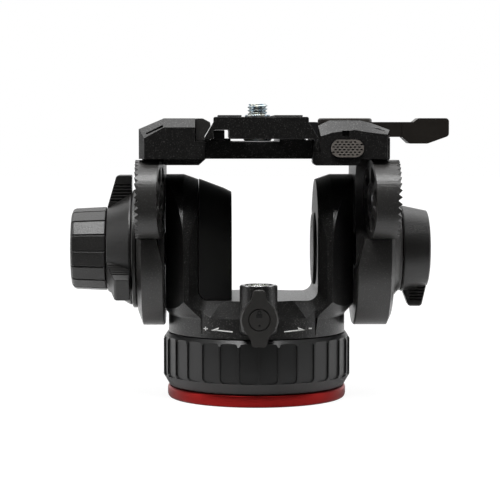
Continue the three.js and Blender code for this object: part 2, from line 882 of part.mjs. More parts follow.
// Rosette: a round disc with radial teeth outside, a threaded bush and sunk pockets inside
function crown(inner, outer, foot, valley, teeth) {
  const samples = 2 * teeth;
  const perSample = 4; // corners
  const positions = [];
  for (let k = 0; k < samples; k++) {
    const angle = (fullTurn * k) / samples;
    const [x, y] = [Math.cos(angle), Math.sin(angle)];
    const rise = k % 2 === 0 ? toothHeight : 0;
    const levels = [foot, valley + (rise * inner) / outer, valley + rise];
    positions.push(inner * x, inner * y, levels[0], outer * x, outer * y, levels[0]);
    positions.push(inner * x, inner * y, levels[1], outer * x, outer * y, levels[2]);
  }
  const faces = [];
  for (let k = 0; k < samples; k++) {
    const [a, b] = [k, (k + 1) % samples].map((i) => i * perSample);
    faces.push(a, b + 1, a + 1, a, b, b + 1); // foot
    faces.push(a + 1, b + 1, b + 3, a + 1, b + 3, a + 3); // outer wall
    faces.push(a + 3, b + 3, b + 2, a + 3, b + 2, a + 2); // teeth
    faces.push(a + 2, b + 2, b, a + 2, b, a); // inner wall
  }
  const geometry = new THREE.BufferGeometry();
  geometry.setAttribute("position", new THREE.Float32BufferAttribute(positions, 3));
  geometry.setIndex(faces);
  geometry.applyMatrix4(alongX);
  return solid(geometry);
}

function makeRosette(name, side, inner) {
  const group = rosetteGroup(side, inner);
  cradle.add(group);
  const valley = rosetteThickness - toothHeight;
  const hub = valley - toothHeight / 2;
  const body = revolve(
    [
      [rosetteBush + seat, 0],
      [rosetteRadius - seat, 0],
      [rosetteRadius, seat],
      [rosetteRadius, valley],
      [toothInnerRadius, valley],
      [toothInnerRadius, hub],
      [rosetteBush + seat, hub],
    ],
    rosetteTeeth,
    alongX,
  );
  const teeth = crown(toothInnerRadius, rosetteRadius, hub, valley, rosetteTeeth);
  const half = (Math.PI / pocketCount) * 2 * pocketShare;
  const pockets = Array.from({ length: pocketCount }, (_, i) => {
    const middle = (fullTurn * i) / pocketCount;
    const at = (radius, angle) => point(radius * Math.cos(angle), radius * Math.sin(angle));
    const corners = [-half, 0, half].map((turn) => at(pocketOuter, middle + turn));
    corners.push(at(pocketInner, middle + half), at(pocketInner, middle - half));
    return extrude(corners, -overrun, pocketDepth, alongX);
  });
  piece(name, cut(join(body, teeth), ...pockets), castBlack, group);
  const bush = tube(rosetteHole, rosetteBush, 0, hub - seat, smallSteps, alongX);
  piece(name + "_bush", bush, plainSteel, group);
}

// What the cradle holds on the tilt axis
function makeCradleInsides() {
  const shaft = axleRadius + seat;
  const leftStart = leftInner + damperDepth + seat;
  const bearing = (start) =>
    tube(shaft, tiltBearingRadius, start, start + tiltBearingWidth, smallSteps, alongX);
  piece("left_tilt_bearing", placed(bearing(leftStart), mirrorX), bronze, cradle);
  piece("right_tilt_bearing", bearing(rightInner + damperDepth + seat), bronze, cradle);
  const turningStart = leftInner + running + discThickness + running;
  const turning = tube(
    tiltBearingRadius + seat,
    damperRadius - seat,
    turningStart,
    turningStart + discThickness,
    roundSteps,
    alongX,
  );
  piece("tilt_turning_disc", placed(turning, mirrorX), bronze, cradle);
  const padStart = rightInner + damperDepth + tiltBearingWidth + seat + running;
  const pad = tube(0, tiltBearingRadius, padStart, padStart + brakePadHeight, smallSteps, alongX);
  piece("tilt_brake_pad", pad, rubberBlack, cradle);
  const ringStart = leftOuter + seat;
  const stemRoom = stemRadius + running;
  const disc = (radius, start, width) =>
    tube(stemRoom, radius, start, start + width, roundSteps, alongX);
  const ring = disc(baseRingRadius, ringStart, baseRingWidth);
  piece("tilt_base_ring", placed(ring, mirrorX), mouldedBlack, cradle);
  const collarStart = rightOuter + seat;
  const collar = disc(collarRadius, collarStart, collarWidth);
  piece("tilt_lock_collar", collar, castBlack, cradle);
}

// A wing that stands on a cone about the tilt axis: its outline in radius and reach, pushed
// sideways, with a bevel along its edges
function wing(corners, thickness, edge) {
  const points = corners.map(([reach, radius]) => point(reach, radius));
  const bevel = { thickness: edge, size: edge, offset: -edge };
  return extrude(points, -thickness / 2, thickness / 2, forward, bevel);
}

// Tilt drag ring: a cone with three wings
function makeTiltDragRing() {
  const start = leftOuter + seat + baseRingWidth + running;
  const end = start + dragWidth;
  const bore = stemRadius + running;
  const cone = revolve(
    [[bore, start], [dragRootRadius, start], [dragTipRadius, end], [bore, end]],
    roundSteps,
    alongX,
  );
  const profile = [
    [start, bore * 2],
    [end, bore * 2],
    [end, dragTipRadius],
    [end - wingTopInset, wingRadius - wingEdge],
    [end - wingTopInset - wingEdge, wingRadius],
    [start, wingRadius],
  ];
  const wings = Array.from({ length: wingCount }, (_, i) => {
    const turn = new THREE.Matrix4().makeRotationX((fullTurn * i) / wingCount);
    return placed(wing(profile, wingThickness, wingEdge), turn);
  });
  const ring = placed(join(cone, ...wings), mirrorX);
  piece("tilt_drag_ring", ring, mouldedBlack, cradle);
}

// Counterbalance knob with its flats, and its stem
function makeCounterbalanceKnob() {
  const start = leftOuter + baseRingWidth + dragWidth + seat + 2 * running;
  const room = stemRadius + seat;
  const flats = 1 / Math.cos(Math.PI / knobSides);
  const stemEnd = start + tiltBearingWidth;
  const knob = revolve(
    [
      [0, stemEnd + seat],
      [room, stemEnd + seat],
      [room, start],
      [knobRootRadius * flats, start],
      [knobTipRadius * flats, knobEnd - knobEdge],
      [knobTipRadius * flats - knobEdge, knobEnd],
      [0, knobEnd],
    ],
    knobSides,
    alongX,
    fullTurn / knobSides / 2,
  );
  piece("counterbalance_knob", placed(knob, mirrorX), mouldedBlack, cradle);
  const stem = tube(0, stemRadius, leftOuter + running, stemEnd, smallSteps, alongX);
  piece("counterbalance_stem", placed(stem, mirrorX), plainSteel, cradle);
}

// Tilt lock knob: a tapered cap with a domed end and one wing below, on its stem
function makeTiltLock() {
  const start = rightOuter + seat + collarWidth + running;
  const end = start + tiltLockWidth;
  const room = stemRadius + seat;
  const stemEnd = start + tiltBearingWidth;
  const profile = [
    [0, stemEnd + seat],
    [room, stemEnd + seat],
    [room, start],
    [tiltLockRadius, start],
    [tiltLockTip, end - tiltLockDome],
  ];
  for (const share of domeShares) {
    profile.push([tiltLockTip * share, end - tiltLockDome * share * share]);
  }
  const cap = revolve(profile, roundSteps, alongX);
  const wingShape = [
    [start + tiltLockDome, 0],
    [end - tiltLockDome, 0],
    [end - tiltLockDome, -tiltLockTip],
    [end - 2 * tiltLockDome, -tiltWingRadius],
    [start + 2 * tiltLockDome, -tiltWingRadius],
    [start + tiltLockDome / 2, -tiltLockRadius],
  ].reverse();
  const roomCut = tube(0, room, start - overrun, stemEnd + seat, smallSteps, alongX);
  const knob = cut(join(cap, wing(wingShape, tiltWingThickness, wingEdge)), roomCut);
  piece("tilt_lock_knob", knob, mouldedBlack, cradle);
  const padEnd = rightInner + damperDepth + tiltBearingWidth + seat + running + brakePadHeight;
  const stem = tube(0, stemRadius, padEnd + seat, stemEnd, smallSteps, alongX);
  piece("tilt_lock_stem", stem, plainSteel, cradle);
}

// Platform: a cast block on the left, a trough between two rails, and a shelf for the lever on
// the right behind a crest. Its front and back edges are bevelled.
const platform = new THREE.Group(); // its heights start at the lower face of its deck
platform.position.z = deckHeight;
cradle.add(platform);

function makePlatform() {
  const leftShape = (drop, inset) => [
    point(-leftEdge + inset, 0),
    point(-leftBlockInner, 0),
    point(-leftBlockInner, blockTop - drop),
    point(-leftShoulder, blockTop - drop),
    point(-leftEdge + inset, leftShoulderHeight - drop),
  ];
  const ends = [-platformHalf, bevelDepth - platformHalf, platformHalf - bevelDepth, platformHalf];
  const drops = [[bevelDrop, bevelInset], [0, 0], [0, 0], [bevelDrop, bevelInset]];
  const left = loft(drops.map((drop) => leftShape(...drop)), ends, forward);
  const crestShape = (drop, inset) => [
    point(crestInner, 0),
    point(rightEdge - inset, 0),
    point(rightEdge - inset, crestFoot - drop),
    point(crestKnee, crestKneeHeight - drop),
    point(crestEnd, crestTop - drop),
    point(crestStart, crestTop - drop),
    point(crestInner, crestInnerHeight - drop),
  ];
  const crest = loft(
    [crestShape(0, 0), crestShape(bevelDrop, bevelInset)],
    [platformHalf - bevelDepth, platformHalf],
    forward,
  );
  const inside = leftBlockInner + overrun;
  const deck = extrude(
    [
      point(-inside, 0),
      point(rightEdge, 0),
      point(rightEdge, shelfTop),
      point(shelfStart, shelfTop),
      point(shelfStart, jawSeat),
      point(railHalf, jawSeat),
      point(railHalf, railTop),
      point(troughHalf, railTop),
      point(troughHalf, troughTop),
      point(-troughHalf, troughTop),
      point(-troughHalf, railTop),
      point(-railHalf, railTop),
      point(-railHalf, jawSeat),
      point(-inside, jawSeat),
    ],
    -platformHalf,
    platformHalf - bevelDepth / 2,
    forward,
  );
  const rib = box([-ribOuter, -ribHalf, -ribDepth], [-ribInner, ribHalf, overrun]);
  const boss = box(
    [buttonBossInner, -platformHalf, -ribDepth],
    [buttonBossOuter, buttonBossDepth - platformHalf, overrun],
  );
  const spread = buttonHalfWidth - buttonHalfHeight;
  const pill = roundOutline(buttonHalfHeight + seat, smallSteps, spread);
  const back = platformHalf + buttonProud - buttonLength - buttonRoom;
  const buttonCut = extrude(pill, back, platformHalf + overrun, forward);
  const pinFoot = shelfTop - pinDepth;
  const swingFloor = shelfTop - paddleDrop;
  const swing = tube(swingRadius, swingReach, swingFloor, blockTop + overrun, roundSteps);
  const swingLimit = box(
    [swingInner, -swingFront, 0],
    [rightEdge + overrun, platformHalf + overrun, blockTop + 2 * overrun],
  );
  const toLever = shift(leverX, -leverForward, 0);
  const stopCut = box(
    [-stopOuter - seat, -stopFront - seat, jawSeat],
    [-stopInner + seat, stopLength - stopFront + seat, blockTop],
  );
  const carriage = cut(
    join(left, crest, deck, rib, boss),
    placed(buttonCut, shift(buttonX, 0, buttonHeight)),
    placed(tube(0, pinRadius + seat, pinFoot, blockTop), toLever),
    placed(swing, toLever).intersect(swingLimit),
    stopCut,
  );
  piece("top_carriage", carriage, castBlack, platform);

  const stop = box(
    [-stopOuter, -stopFront, jawSeat + seat],
    [-stopInner, stopLength - stopFront, stopTop],
  );
  piece("plate_stop", stop, plainSteel, platform);
  const fixedShape = [
    point(-leftBlockInner + seat, jawSeat + seat),
    point(-cameraPlateWidest - running, jawSeat + seat),
    point(-cameraPlateWidest - running, cameraPlateBottom + flankFoot),
    point(-jawInner, jawKnee),
    point(-jawInner, jawTop),
    point(-jawInner - jawChamfer, blockTop),
    point(-leftBlockInner + seat, blockTop),
  ];
  const fixed = extrude(fixedShape, -fixedJawLength / 2, fixedJawLength / 2, forward);
  piece("fixed_jaw", fixed, mouldedBlack, platform);
  const jawFoot = jawSeat + running;
  const clampShape = [
    point(cameraPlateWidest + running, jawFoot),
    point(jawOuter, jawFoot),
    point(jawOuter, jawTop),
    point(jawInner, jawTop),
    point(jawInner, jawKnee),
    point(cameraPlateWidest + running, cameraPlateBottom + flankFoot),
  ];
  const clamp = extrude(clampShape, -jawLength / 2, jawLength / 2, forward);
  piece("clamp_jaw", clamp, mouldedBlack, platform);

  const pin = tube(0, pinRadius, pinFoot + seat, leverTop - leverRoof - seat);
  piece("lever_pin", placed(pin, toLever), plainSteel, platform);
  const buttonBody = extrude(
    roundOutline(buttonHalfHeight, smallSteps, spread),
    platformHalf + buttonProud - buttonLength,
    platformHalf + buttonProud,
    forward,
  );
  piece("release_button", placed(buttonBody, shift(buttonX, 0, buttonHeight)), buttonGrey, platform);
  const springStart = back + buttonSpringWire + seat;
  const springEnd = back + buttonRoom - buttonSpringWire - seat;
  const spring = coil(
    buttonSpringRadius,
    buttonSpringWire,
    buttonSpringTurns,
    springStart,
    springEnd,
    forward,
  );
  piece("button_spring", placed(spring, shift(buttonX, 0, buttonHeight)), plainSteel, platform);
}

// Clamp lever: a round hub, a bar and a deeper paddle
function makeLever() {
  const foot = shelfTop + running;
  const hub = revolve(
    [
      [0, foot],
      [hubRadius, foot],
      [hubRadius, leverTop - leverEdge],
      [hubRadius - leverEdge, leverTop],
      [0, leverTop],
    ],
    roundSteps,
  );
  const hubCut = tube(0, pinRadius + seat, foot - overrun, leverTop - leverRoof);
  const barEnd = paddleStart - leverX + paddleEdge;
  const bar = box([0, -barHalf, foot], [barEnd, barHalf, barTop]);
  const paddleShape = outline([
    [paddleStart - leverX, foot - paddleDrop],
    [knobEnd - leverX, foot - paddleDrop, paddleEdge],
    [knobEnd - leverX, leverTop, paddleEdge],
    [paddleStart - leverX, leverTop, paddleEdge],
  ]);
  const paddle = extrude(paddleShape, -paddleHalf, paddleHalf, forward);
  const lever = cut(join(hub, bar, paddle), hubCut);
  const toLever = shift(leverX, -leverForward, 0);
  piece("plate_lock_lever", placed(lever, toLever), leverBrown, platform);
}

// Camera plate: a dovetail with a slot, two pads and the camera screw with its washer
function makeCameraPlate() {
  const top = cameraPlateTop;
  const foot = cameraPlateBottom;
  const shape = [
    point(-cameraPlateWidest, foot),
    point(-notchOuter, foot),
    point(-notchOuter, foot + notchDepth),
    point(-notchInner, foot + notchDepth),
    point(-notchInner, foot),
    point(cameraPlateWidest, foot),
    point(cameraPlateWidest, foot + flankFoot),
    point(cameraPlateNeck, foot + flankHead),
    point(cameraPlateNeck, top),
    point(-cameraPlateNeck, top),
    point(-cameraPlateNeck, foot + flankHead),
    point(-cameraPlateWidest, foot + flankFoot),
  ];
  const web = top - webThickness;
  const plate = cut(
    extrude(shape, -cameraPlateHalf, cameraPlateHalf, forward),
    box(
      [-pocketHalf, plateLip - cameraPlateHalf, foot - overrun],
      [pocketHalf, cameraPlateHalf + overrun, web],
    ),
    box([-slotHalf, -slotReach, web - overrun], [slotHalf, slotReach, top + overrun]),
  );
  piece("slide_plate", plate, castBlack, platform);
  const padReach = cameraPlateHalf - plateLip;
  const pad = (from, to) => box([from, -padReach, top], [to, padReach, top + padHeight]);
  piece("left_pad", pad(-padOuter, -padInner), rubberBlack, platform);
  piece("right_pad", pad(padInner, padOuter), rubberBlack, platform);
  const headTop = web - seat;
  const headFoot = headTop - screwHeadHeight;
  const screw = revolve(
    [
      [0, headFoot - screwFoot],
      [screwFootRadius, headFoot - screwFoot],
      [screwFootRadius, headFoot],
      [screwHeadRadius, headFoot],
      [screwHeadRadius, headTop],
      [threadRadius, headTop],
      [threadRadius, screwTop - seat],
      [threadRadius - seat, screwTop],
      [0, screwTop],
    ],
    smallSteps,
  );
  const toScrew = shift(0, -screwForward, 0);
  piece("camera_screw", placed(screw, toScrew), zincSteel, platform);
  const washer = tube(threadRadius + seat, washerRadius, top + seat, top + padHeight);
  piece("screw_washer", placed(washer, toScrew), rubberBlack, platform);
}

makeBase();
makePanRing();
makeYoke();
makePanInside();
makePanLock();
makeArmInsides();
makeSidePlate("left_side_plate", -1, {
  inner: leftInner,
  rim: leftRim,
  outer: leftOuter,
  armOuter: leftRim,
  discRoom: damperRadius,
  rosetteInner: leftRosetteInner,
});
makeSidePlate("right_side_plate", 1, {
  inner: rightInner,
  rim: rightRim,
  outer: rightOuter,
  armOuter: rightRim - seat,
  discRoom: brakeDiscRadius + running,
  rosetteInner: rightRosetteInner,
});
makeRosette("left_rosette", -1, leftRosetteInner);
makeRosette("right_rosette", 1, rightRosetteInner);
makeCradleInsides();
makeTiltDragRing();
makeCounterbalanceKnob();
makeTiltLock();
makePlatform();
makeLever();
makeCameraPlate();

export default head;
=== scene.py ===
import math

import bmesh
import bpy
from mathutils import Matrix, Vector


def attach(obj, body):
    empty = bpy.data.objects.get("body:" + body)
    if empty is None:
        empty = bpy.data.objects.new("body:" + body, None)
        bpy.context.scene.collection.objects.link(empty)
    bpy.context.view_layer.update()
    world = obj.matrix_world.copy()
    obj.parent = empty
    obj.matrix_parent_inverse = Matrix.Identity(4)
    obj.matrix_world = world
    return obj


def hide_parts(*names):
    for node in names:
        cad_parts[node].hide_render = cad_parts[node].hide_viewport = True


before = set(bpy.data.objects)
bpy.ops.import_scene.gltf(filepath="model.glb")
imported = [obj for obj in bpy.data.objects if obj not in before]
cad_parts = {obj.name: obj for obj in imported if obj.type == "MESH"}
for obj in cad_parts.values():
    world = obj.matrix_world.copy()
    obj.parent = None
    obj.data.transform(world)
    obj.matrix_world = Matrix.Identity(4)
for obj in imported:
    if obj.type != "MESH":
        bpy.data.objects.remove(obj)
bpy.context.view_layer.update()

# Camera. It stands 0.9 m ahead of the pan axis, a little to the left, at the height of the
# camera plate, and looks slightly down, as in the photograph.
view = bpy.data.cameras.new("view")
view.sensor_width = 36
view.lens = 133.3
view.clip_end = 20
camera = bpy.data.objects.new("camera", view)
camera.location = (-0.020, -0.900, 0.1305)
camera.rotation_euler = [math.radians(angle) for angle in (86.23, 0, -1.07)]
bpy.context.collection.objects.link(camera)
bpy.context.scene.camera = camera
bpy.context.scene.view_settings.view_transform = "Standard"


# Studio. A pale floor, a white surround and four soft lamps: an upright one on each side, a broad
# one above and a strong one high in front. To all but the camera the surround is bright only
# behind and the floor is dark ahead, so that the black front faces stay dark.
class Wire:
    """A socket of a node, which can be used in a sum."""

    def __init__(self, nodes, socket):
        self.nodes = nodes
        self.socket = socket

    def maths(self, operation, first, second):
        return self.nodes.node("ShaderNodeMath", {"operation": operation}, {0: first, 1: second})

    def __add__(self, other):
        return self.maths("ADD", self, other)

    def __sub__(self, other):
        return self.maths("SUBTRACT", self, other)

    def __mul__(self, other):
        return self.maths("MULTIPLY", self, other)

    def power(self, other):
        return self.maths("POWER", self, other)

    def largest(self, other):
        return self.maths("MAXIMUM", self, other)


class Nodes:
    """A tree of nodes, and short ways to add some."""

    def __init__(self, tree):
        self.tree = tree

    def put(self, socket, value):
        if isinstance(value, Wire):
            self.tree.links.new(value.socket, socket)
        else:
            socket.default_value = value

    def node(self, kind, settings=None, inputs=None, output=0):
        made = self.tree.nodes.new(kind)
        for name, value in (settings or {}).items():
            if name == "stops":
                ramp = made.color_ramp.elements
                while len(ramp) < len(value):
                    ramp.new(1)
                for stop, (place, shade) in zip(ramp, value):
                    stop.position = place
                    stop.color = (shade, shade, shade, 1)
            else:
                setattr(made, name, value)
        for name, value in (inputs or {}).items():
            self.put(made.inputs[name], value)
        return Wire(self, made.outputs[output])


class Coat(Nodes):
    """A material, its shader and the nodes that feed it."""

    def __init__(self, name, colour, roughness=0.5, metallic=0.0):
        self.material = bpy.data.materials.new(name)
        self.material.use_nodes = True
        super().__init__(self.material.node_tree)
        self.shader = self.tree.nodes["Principled BSDF"]
        self.set(Base_Color=(*colour, 1), Roughness=roughness, Metallic=metallic)

    def set(self, **sockets):
        """Values of the shader's sockets, with _ for the space in a socket's name."""
        for name, value in sockets.items():
            self.put(self.shader.inputs[name.replace("_", " ")], value)

    def place(self):
        return self.node("ShaderNodeTexCoord", output="Object")

    def axes(self):
        split = self.node("ShaderNodeSeparateXYZ", inputs={0: self.place()})
        return [Wire(self, socket) for socket in split.socket.node.outputs]

    def noise(self, scale, detail=2.0, roughness=0.5, place=None):
        return self.node(
            "ShaderNodeTexNoise",
            inputs={
                "Vector": place or self.place(),
                "Scale": scale,
                "Detail": detail,
                "Roughness": roughness,
            },
        )

    def ramp(self, value, stops):
        return self.node("ShaderNodeValToRGB", {"stops": stops}, {0: value})

    def mix(self, share, first, second):
        colours = [c if isinstance(c, Wire) else (*c, 1) for c in (first, second)]
        return self.node(
            "ShaderNodeMix", {"data_type": "RGBA"}, {0: share, 6: colours[0], 7: colours[1]}, 2
        )

    def bump(self, height, depth):
        return self.node(
            "ShaderNodeBump", inputs={"Height": height, "Distance": depth, "Strength": 1.0}
        )

    def gloss(self, texture, smooth, rough):
        return self.ramp(texture, [(0.3, smooth), (0.7, rough)])

    def finish(self, texture, smooth, rough, depth=0, colours=()):
        """Roughness, and also relief and colour if given, which all follow one texture."""
        self.set(Roughness=self.gloss(texture, smooth, rough))
        if depth:
            self.set(Normal=self.bump(texture, depth))
        if colours:
            self.set(Base_Color=self.mix(texture, *colours))


surround = bpy.data.worlds.new("surround")
bpy.context.scene.world = surround
surround.use_nodes = True
sky = Nodes(surround.node_tree)
backdrop = sky.tree.nodes["Background"].inputs
backdrop["Color"].default_value = (1, 1, 1, 1)
ray = sky.node("ShaderNodeLightPath").socket.node.outputs
seen = Wire(sky, ray["Is Camera Ray"]).largest(Wire(sky, ray["Is Transmission Ray"]))
compass = sky.node("ShaderNodeTexCoord", output="Generated")
backward = sky.node("ShaderNodeSeparateXYZ", inputs={0: compass}, output="Y")
bright_behind = sky.node(
    "ShaderNodeMapRange",
    inputs={"Value": backward, "From Min": 0.1, "From Max": 0.9, "To Min": 0.02, "To Max": 1.0},
)
mirrored = sky.node(
    "ShaderNodeMix", inputs={"Factor": Wire(sky, ray["Is Glossy Ray"]), "A": 0.1, "B": bright_behind}
)
sky.put(backdrop["Strength"], seen.largest(mirrored))

floor_form = bmesh.new()
bmesh.ops.create_grid(floor_form, x_segments=2, y_segments=2, size=4)
floor_mesh = bpy.data.meshes.new("floor")
floor_form.to_mesh(floor_mesh)
floor = bpy.data.objects.new("floor", floor_mesh)
bpy.context.collection.objects.link(floor)
pale, dark = (0.82, 0.82, 0.82), (0.03, 0.03, 0.03)
floor_coat = Coat("floor_white", pale, 0.7)
x, y, z = floor_coat.axes()
clear_of_shadow = floor_coat.ramp((x * x + y * y).power(0.5), [(0.06, 0.84), (0.2, 1)])
not_ahead = floor_coat.ramp(y + 0.5, [(0.36, 0), (0.43, 1)])
floor_coat.set(Base_Color=floor_coat.mix(not_ahead, dark, pale))
glow = floor_coat.node("ShaderNodeEmission", inputs={"Color": (1, 1, 1, 1), "Strength": 1.1})
ray = floor_coat.node("ShaderNodeLightPath")
eye = ray.socket.node.outputs["Is Camera Ray"]
lit = floor_coat.node(
    "ShaderNodeMixShader",
    inputs={
        0: Wire(floor_coat, eye) * clear_of_shadow,
        1: Wire(floor_coat, floor_coat.shader.outputs[0]),
        2: glow,
    },
)
floor_coat.put(floor_coat.tree.nodes["Material Output"].inputs["Surface"], lit)
floor_mesh.materials.append(floor_coat.material)


def lamp(name, size, place, aim, power):
    light = bpy.data.lights.new(name, "AREA")
    light.shape = "RECTANGLE"
    light.size, light.size_y = size
    light.energy = power
    held = bpy.data.objects.new(name, light)
    held.location = place
    held.rotation_euler = (Vector(aim) - Vector(place)).to_track_quat("-Z", "Y").to_euler()
    bpy.context.collection.objects.link(held)


upright, middle = (0.35, 0.9), (0, 0, 0.08)
lamp("left_lamp", upright, (-1.0, -0.15, 0.4), middle, 2)
lamp("right_lamp", upright, (1.0, -0.15, 0.4), middle, 1.6)
lamp("top_lamp", (1.6, 1.2), (-0.05, 0.35, 1.15), (0, 0.1, 0.08), 13)
lamp("key_lamp", (1.0, 0.4), (-0.1, -0.5, 1.15), middle, 17)

# Base flange. A disc of aluminium, turned on a lathe with a rounded foot, and anodised red. The
# head stands on it, and a steel bush, pressed into it, takes the tripod's stud.
mm = 0.001
LAYS = {  # how a form's own axes lie along X, Y and Z
    "X": Matrix(((0, 0, 1, 0), (1, 0, 0, 0), (0, 1, 0, 0), (0, 0, 0, 1))),
    "Y": Matrix(((1, 0, 0, 0), (0, 0, 1, 0), (0, 1, 0, 0), (0, 0, 0, 1))),
    "Z": Matrix.Identity(4),
}


def laid(form, axis="Z", centre=(0, 0, 0)):
    bmesh.ops.transform(form, matrix=Matrix.Translation(centre) @ LAYS[axis], verts=form.verts)
    bmesh.ops.recalc_face_normals(form, faces=form.faces)
    return form


def turned(profile, axis="Z", centre=(0, 0, 0), steps=144):
    """A profile of radius and height, spun about an axis. Off the axis it closes on itself."""
    form = bmesh.new()
    spots = [form.verts.new((radius, 0, height)) for radius, height in profile]
    if profile[0][0] > 0:
        spots.append(spots[0])
    for pair in zip(spots, spots[1:]):
        form.edges.new(pair)
    bmesh.ops.spin(
        form,
        geom=form.verts[:] + form.edges[:],
        axis=(0, 0, 1),
        cent=(0, 0, 0),
        steps=steps,
        angle=math.tau,
        use_merge=True,
    )
    bmesh.ops.remove_doubles(form, verts=form.verts, dist=1e-4)
    return laid(form, axis, centre)


def tube(inner, outer, low, high, axis="Z", centre=(0, 0, 0), steps=144):
    profile = [(inner, low), (outer, low), (outer, high), (inner, high)]
    return turned(profile, axis, centre, steps)


def shown(name, form, coat, body, *nodes, bevel=0.3, angle=20, segments=2, slot=None):
    """A finished piece: in metres, with its edges eased, on its body, for its nodes."""
    bmesh.ops.scale(form, vec=(mm, mm, mm), verts=form.verts)
    mesh = bpy.data.meshes.new(name)
    form.to_mesh(mesh)
    form.free()
    mesh.shade_smooth()
    mesh.materials.append(coat.material)
    made = bpy.data.objects.new(name, mesh)
    bpy.context.collection.objects.link(made)
    if bevel:
        ease = made.modifiers.new("ease", "BEVEL")
        ease.width = bevel * mm
        ease.segments = segments
        ease.limit_method = "ANGLE"
        ease.angle_limit = math.radians(angle)
        ease.use_clamp_overlap = True
        ease.miter_outer = "MITER_ARC"
    level = made.modifiers.new("level", "WEIGHTED_NORMAL")
    level.keep_sharp = False
    level.weight = 100
    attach(made, body)
    if nodes:
        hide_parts(*nodes)
    return made


flange_radius, flange_top = 43.3, 5.8
bush_radius, bush_room, thread_radius = 9, 9.3, 4.76
red = Coat("red_anodised", (0.36, 0.012, 0.012), 0.26, 1.0)
x, y, z = red.axes()
lathe_marks = 5200
across = (x * x + y * y).power(0.5)
place = red.node("ShaderNodeCombineXYZ", inputs={0: across * lathe_marks, 2: z * lathe_marks})
turning = red.noise(1, 3, place=place)
red.finish(turning, 0.32, 0.44, 0.00001, ((0.23, 0.011, 0.011), (0.31, 0.018, 0.016)))
flange = turned(
    [
        (bush_room, 0), (flange_radius - 1.3, 0), (flange_radius - 0.6, 0.35),
        (flange_radius - 0.2, 1.0), (flange_radius, 2.0), (flange_radius, 3.2),
        (flange_radius, flange_top - 1.1), (flange_radius - 0.2, flange_top - 0.4),
        (flange_radius - 0.8, flange_top), (bush_room, flange_top),
    ]
)
shown("base_plate", flange, red, "base", "base_flange", bevel=0.15, slot="red_anodised")

steel = Coat("bare_steel", (0.42, 0.42, 0.43), 0.34, 1.0)
streaks = steel.noise(900, 4, 0.6)
steel.finish(streaks, 0.26, 0.42, 0.000012)

bush = tube(thread_radius, bush_radius, 0, flange_top - 0.3, steps=72)
shown("base_thread_bush", bush, steel, "base", "base_bush", bevel=0.25, slot="steel")

# Pan drag ring. Moulded nylon with a fine grain, bevelled at both ends, with thirty flat panels
# cut into it for the fingers. It turns round the yoke's skirt and sets the drag.
def pushed(corners, low, high, axis="Z", centre=(0, 0, 0), arcs=8):
    """A flat outline of x, y and corner radius, made solid from one level to another."""
    form = bmesh.new()
    face = form.faces.new([form.verts.new((corner[0], corner[1], low)) for corner in corners])
    round_ones = [
        (vert, corner[2]) for vert, corner in zip(face.verts[:], corners) if len(corner) > 2
    ]
    for vert, radius in round_ones:
        ahead, back = [(edge.other_vert(vert).co - vert.co) for edge in vert.link_edges]
        reach = radius / math.tan(ahead.angle(back) / 2)
        bmesh.ops.bevel(
            form,
            geom=[vert],
            offset=reach,
            offset_type="OFFSET",
            affect="VERTICES",
            segments=arcs,
            profile=0.5,
            material=-1,
        )
    solid = bmesh.ops.extrude_face_region(form, geom=form.faces[:])
    moved = [part for part in solid["geom"] if isinstance(part, bmesh.types.BMVert)]
    bmesh.ops.translate(form, vec=(0, 0, high - low), verts=moved)
    return laid(form, axis, centre)


def rectangle(left, low, right, high, corner):
    """The corners of a rectangle, all of one radius."""
    return [(left, low, corner), (right, low, corner), (right, high, corner), (left, high, corner)]


def joined(*forms):
    """Several forms as one mesh of separate shells."""
    whole = bmesh.new()
    for form in forms:
        part = bpy.data.meshes.new("part")
        form.to_mesh(part)
        form.free()
        whole.from_mesh(part)
        bpy.data.meshes.remove(part)
    return whole


def copied(form, matrix):
    other = form.copy()
    bmesh.ops.transform(other, matrix=matrix, verts=other.verts)
    if matrix.determinant() < 0:
        bmesh.ops.reverse_faces(other, faces=other.faces)
    return other


def around(form, count, axis, centre=(0, 0, 0), start=0.0):
    """A form repeated about an axis."""
    middle = Matrix.Translation(centre)
    turns = [Matrix.Rotation(math.tau * k / count + start, 4, axis) for k in range(count)]
    return [copied(form, middle @ turn @ middle.inverted()) for turn in turns]


def shaped(form, *tools, operation="DIFFERENCE"):
    """A form cut by others, joined to them, or trimmed to them, one after another."""
    objects = []
    for part in (form, *tools):
        mesh = bpy.data.meshes.new("shaping")
        part.to_mesh(mesh)
        part.free()
        objects.append(bpy.data.objects.new("shaping", mesh))
        bpy.context.collection.objects.link(objects[-1])
    body, *others = objects
    for other in others:
        step = body.modifiers.new("shape", "BOOLEAN")
        step.operation = operation
        step.solver = "EXACT"
        step.object = other
    bpy.context.view_layer.update()
    result = body.evaluated_get(bpy.context.evaluated_depsgraph_get()).to_mesh()
    made = bmesh.new()
    made.from_mesh(result)
    for thing in objects:
        mesh = thing.data
        bpy.data.objects.remove(thing)
        bpy.data.meshes.remove(mesh)
    bmesh.ops.remove_doubles(made, verts=made.verts, dist=0.01)
    bmesh.ops.dissolve_limit(
        made,
        angle_limit=math.radians(0.4),
        verts=made.verts,
        edges=made.edges,
        delimit=set(),
    )
    return made


def moulded(name, colour, grain, depth, gloss):
    """Moulded plastic: a fine matt grain, with faint cloudiness in its gloss."""
    coat = Coat(name, colour)
    fine = coat.noise(grain, 3, 0.6)
    cloud = coat.noise(60, 2)
    darker, lighter = ([share * shade for shade in colour] for share in (0.75, 1.3))
    coat.set(
        Base_Color=coat.mix(fine, darker, lighter),
        Roughness=coat.gloss(cloud * 0.5 + fine * 0.5, *gloss),
        Normal=coat.bump(fine, depth),
    )
    return coat


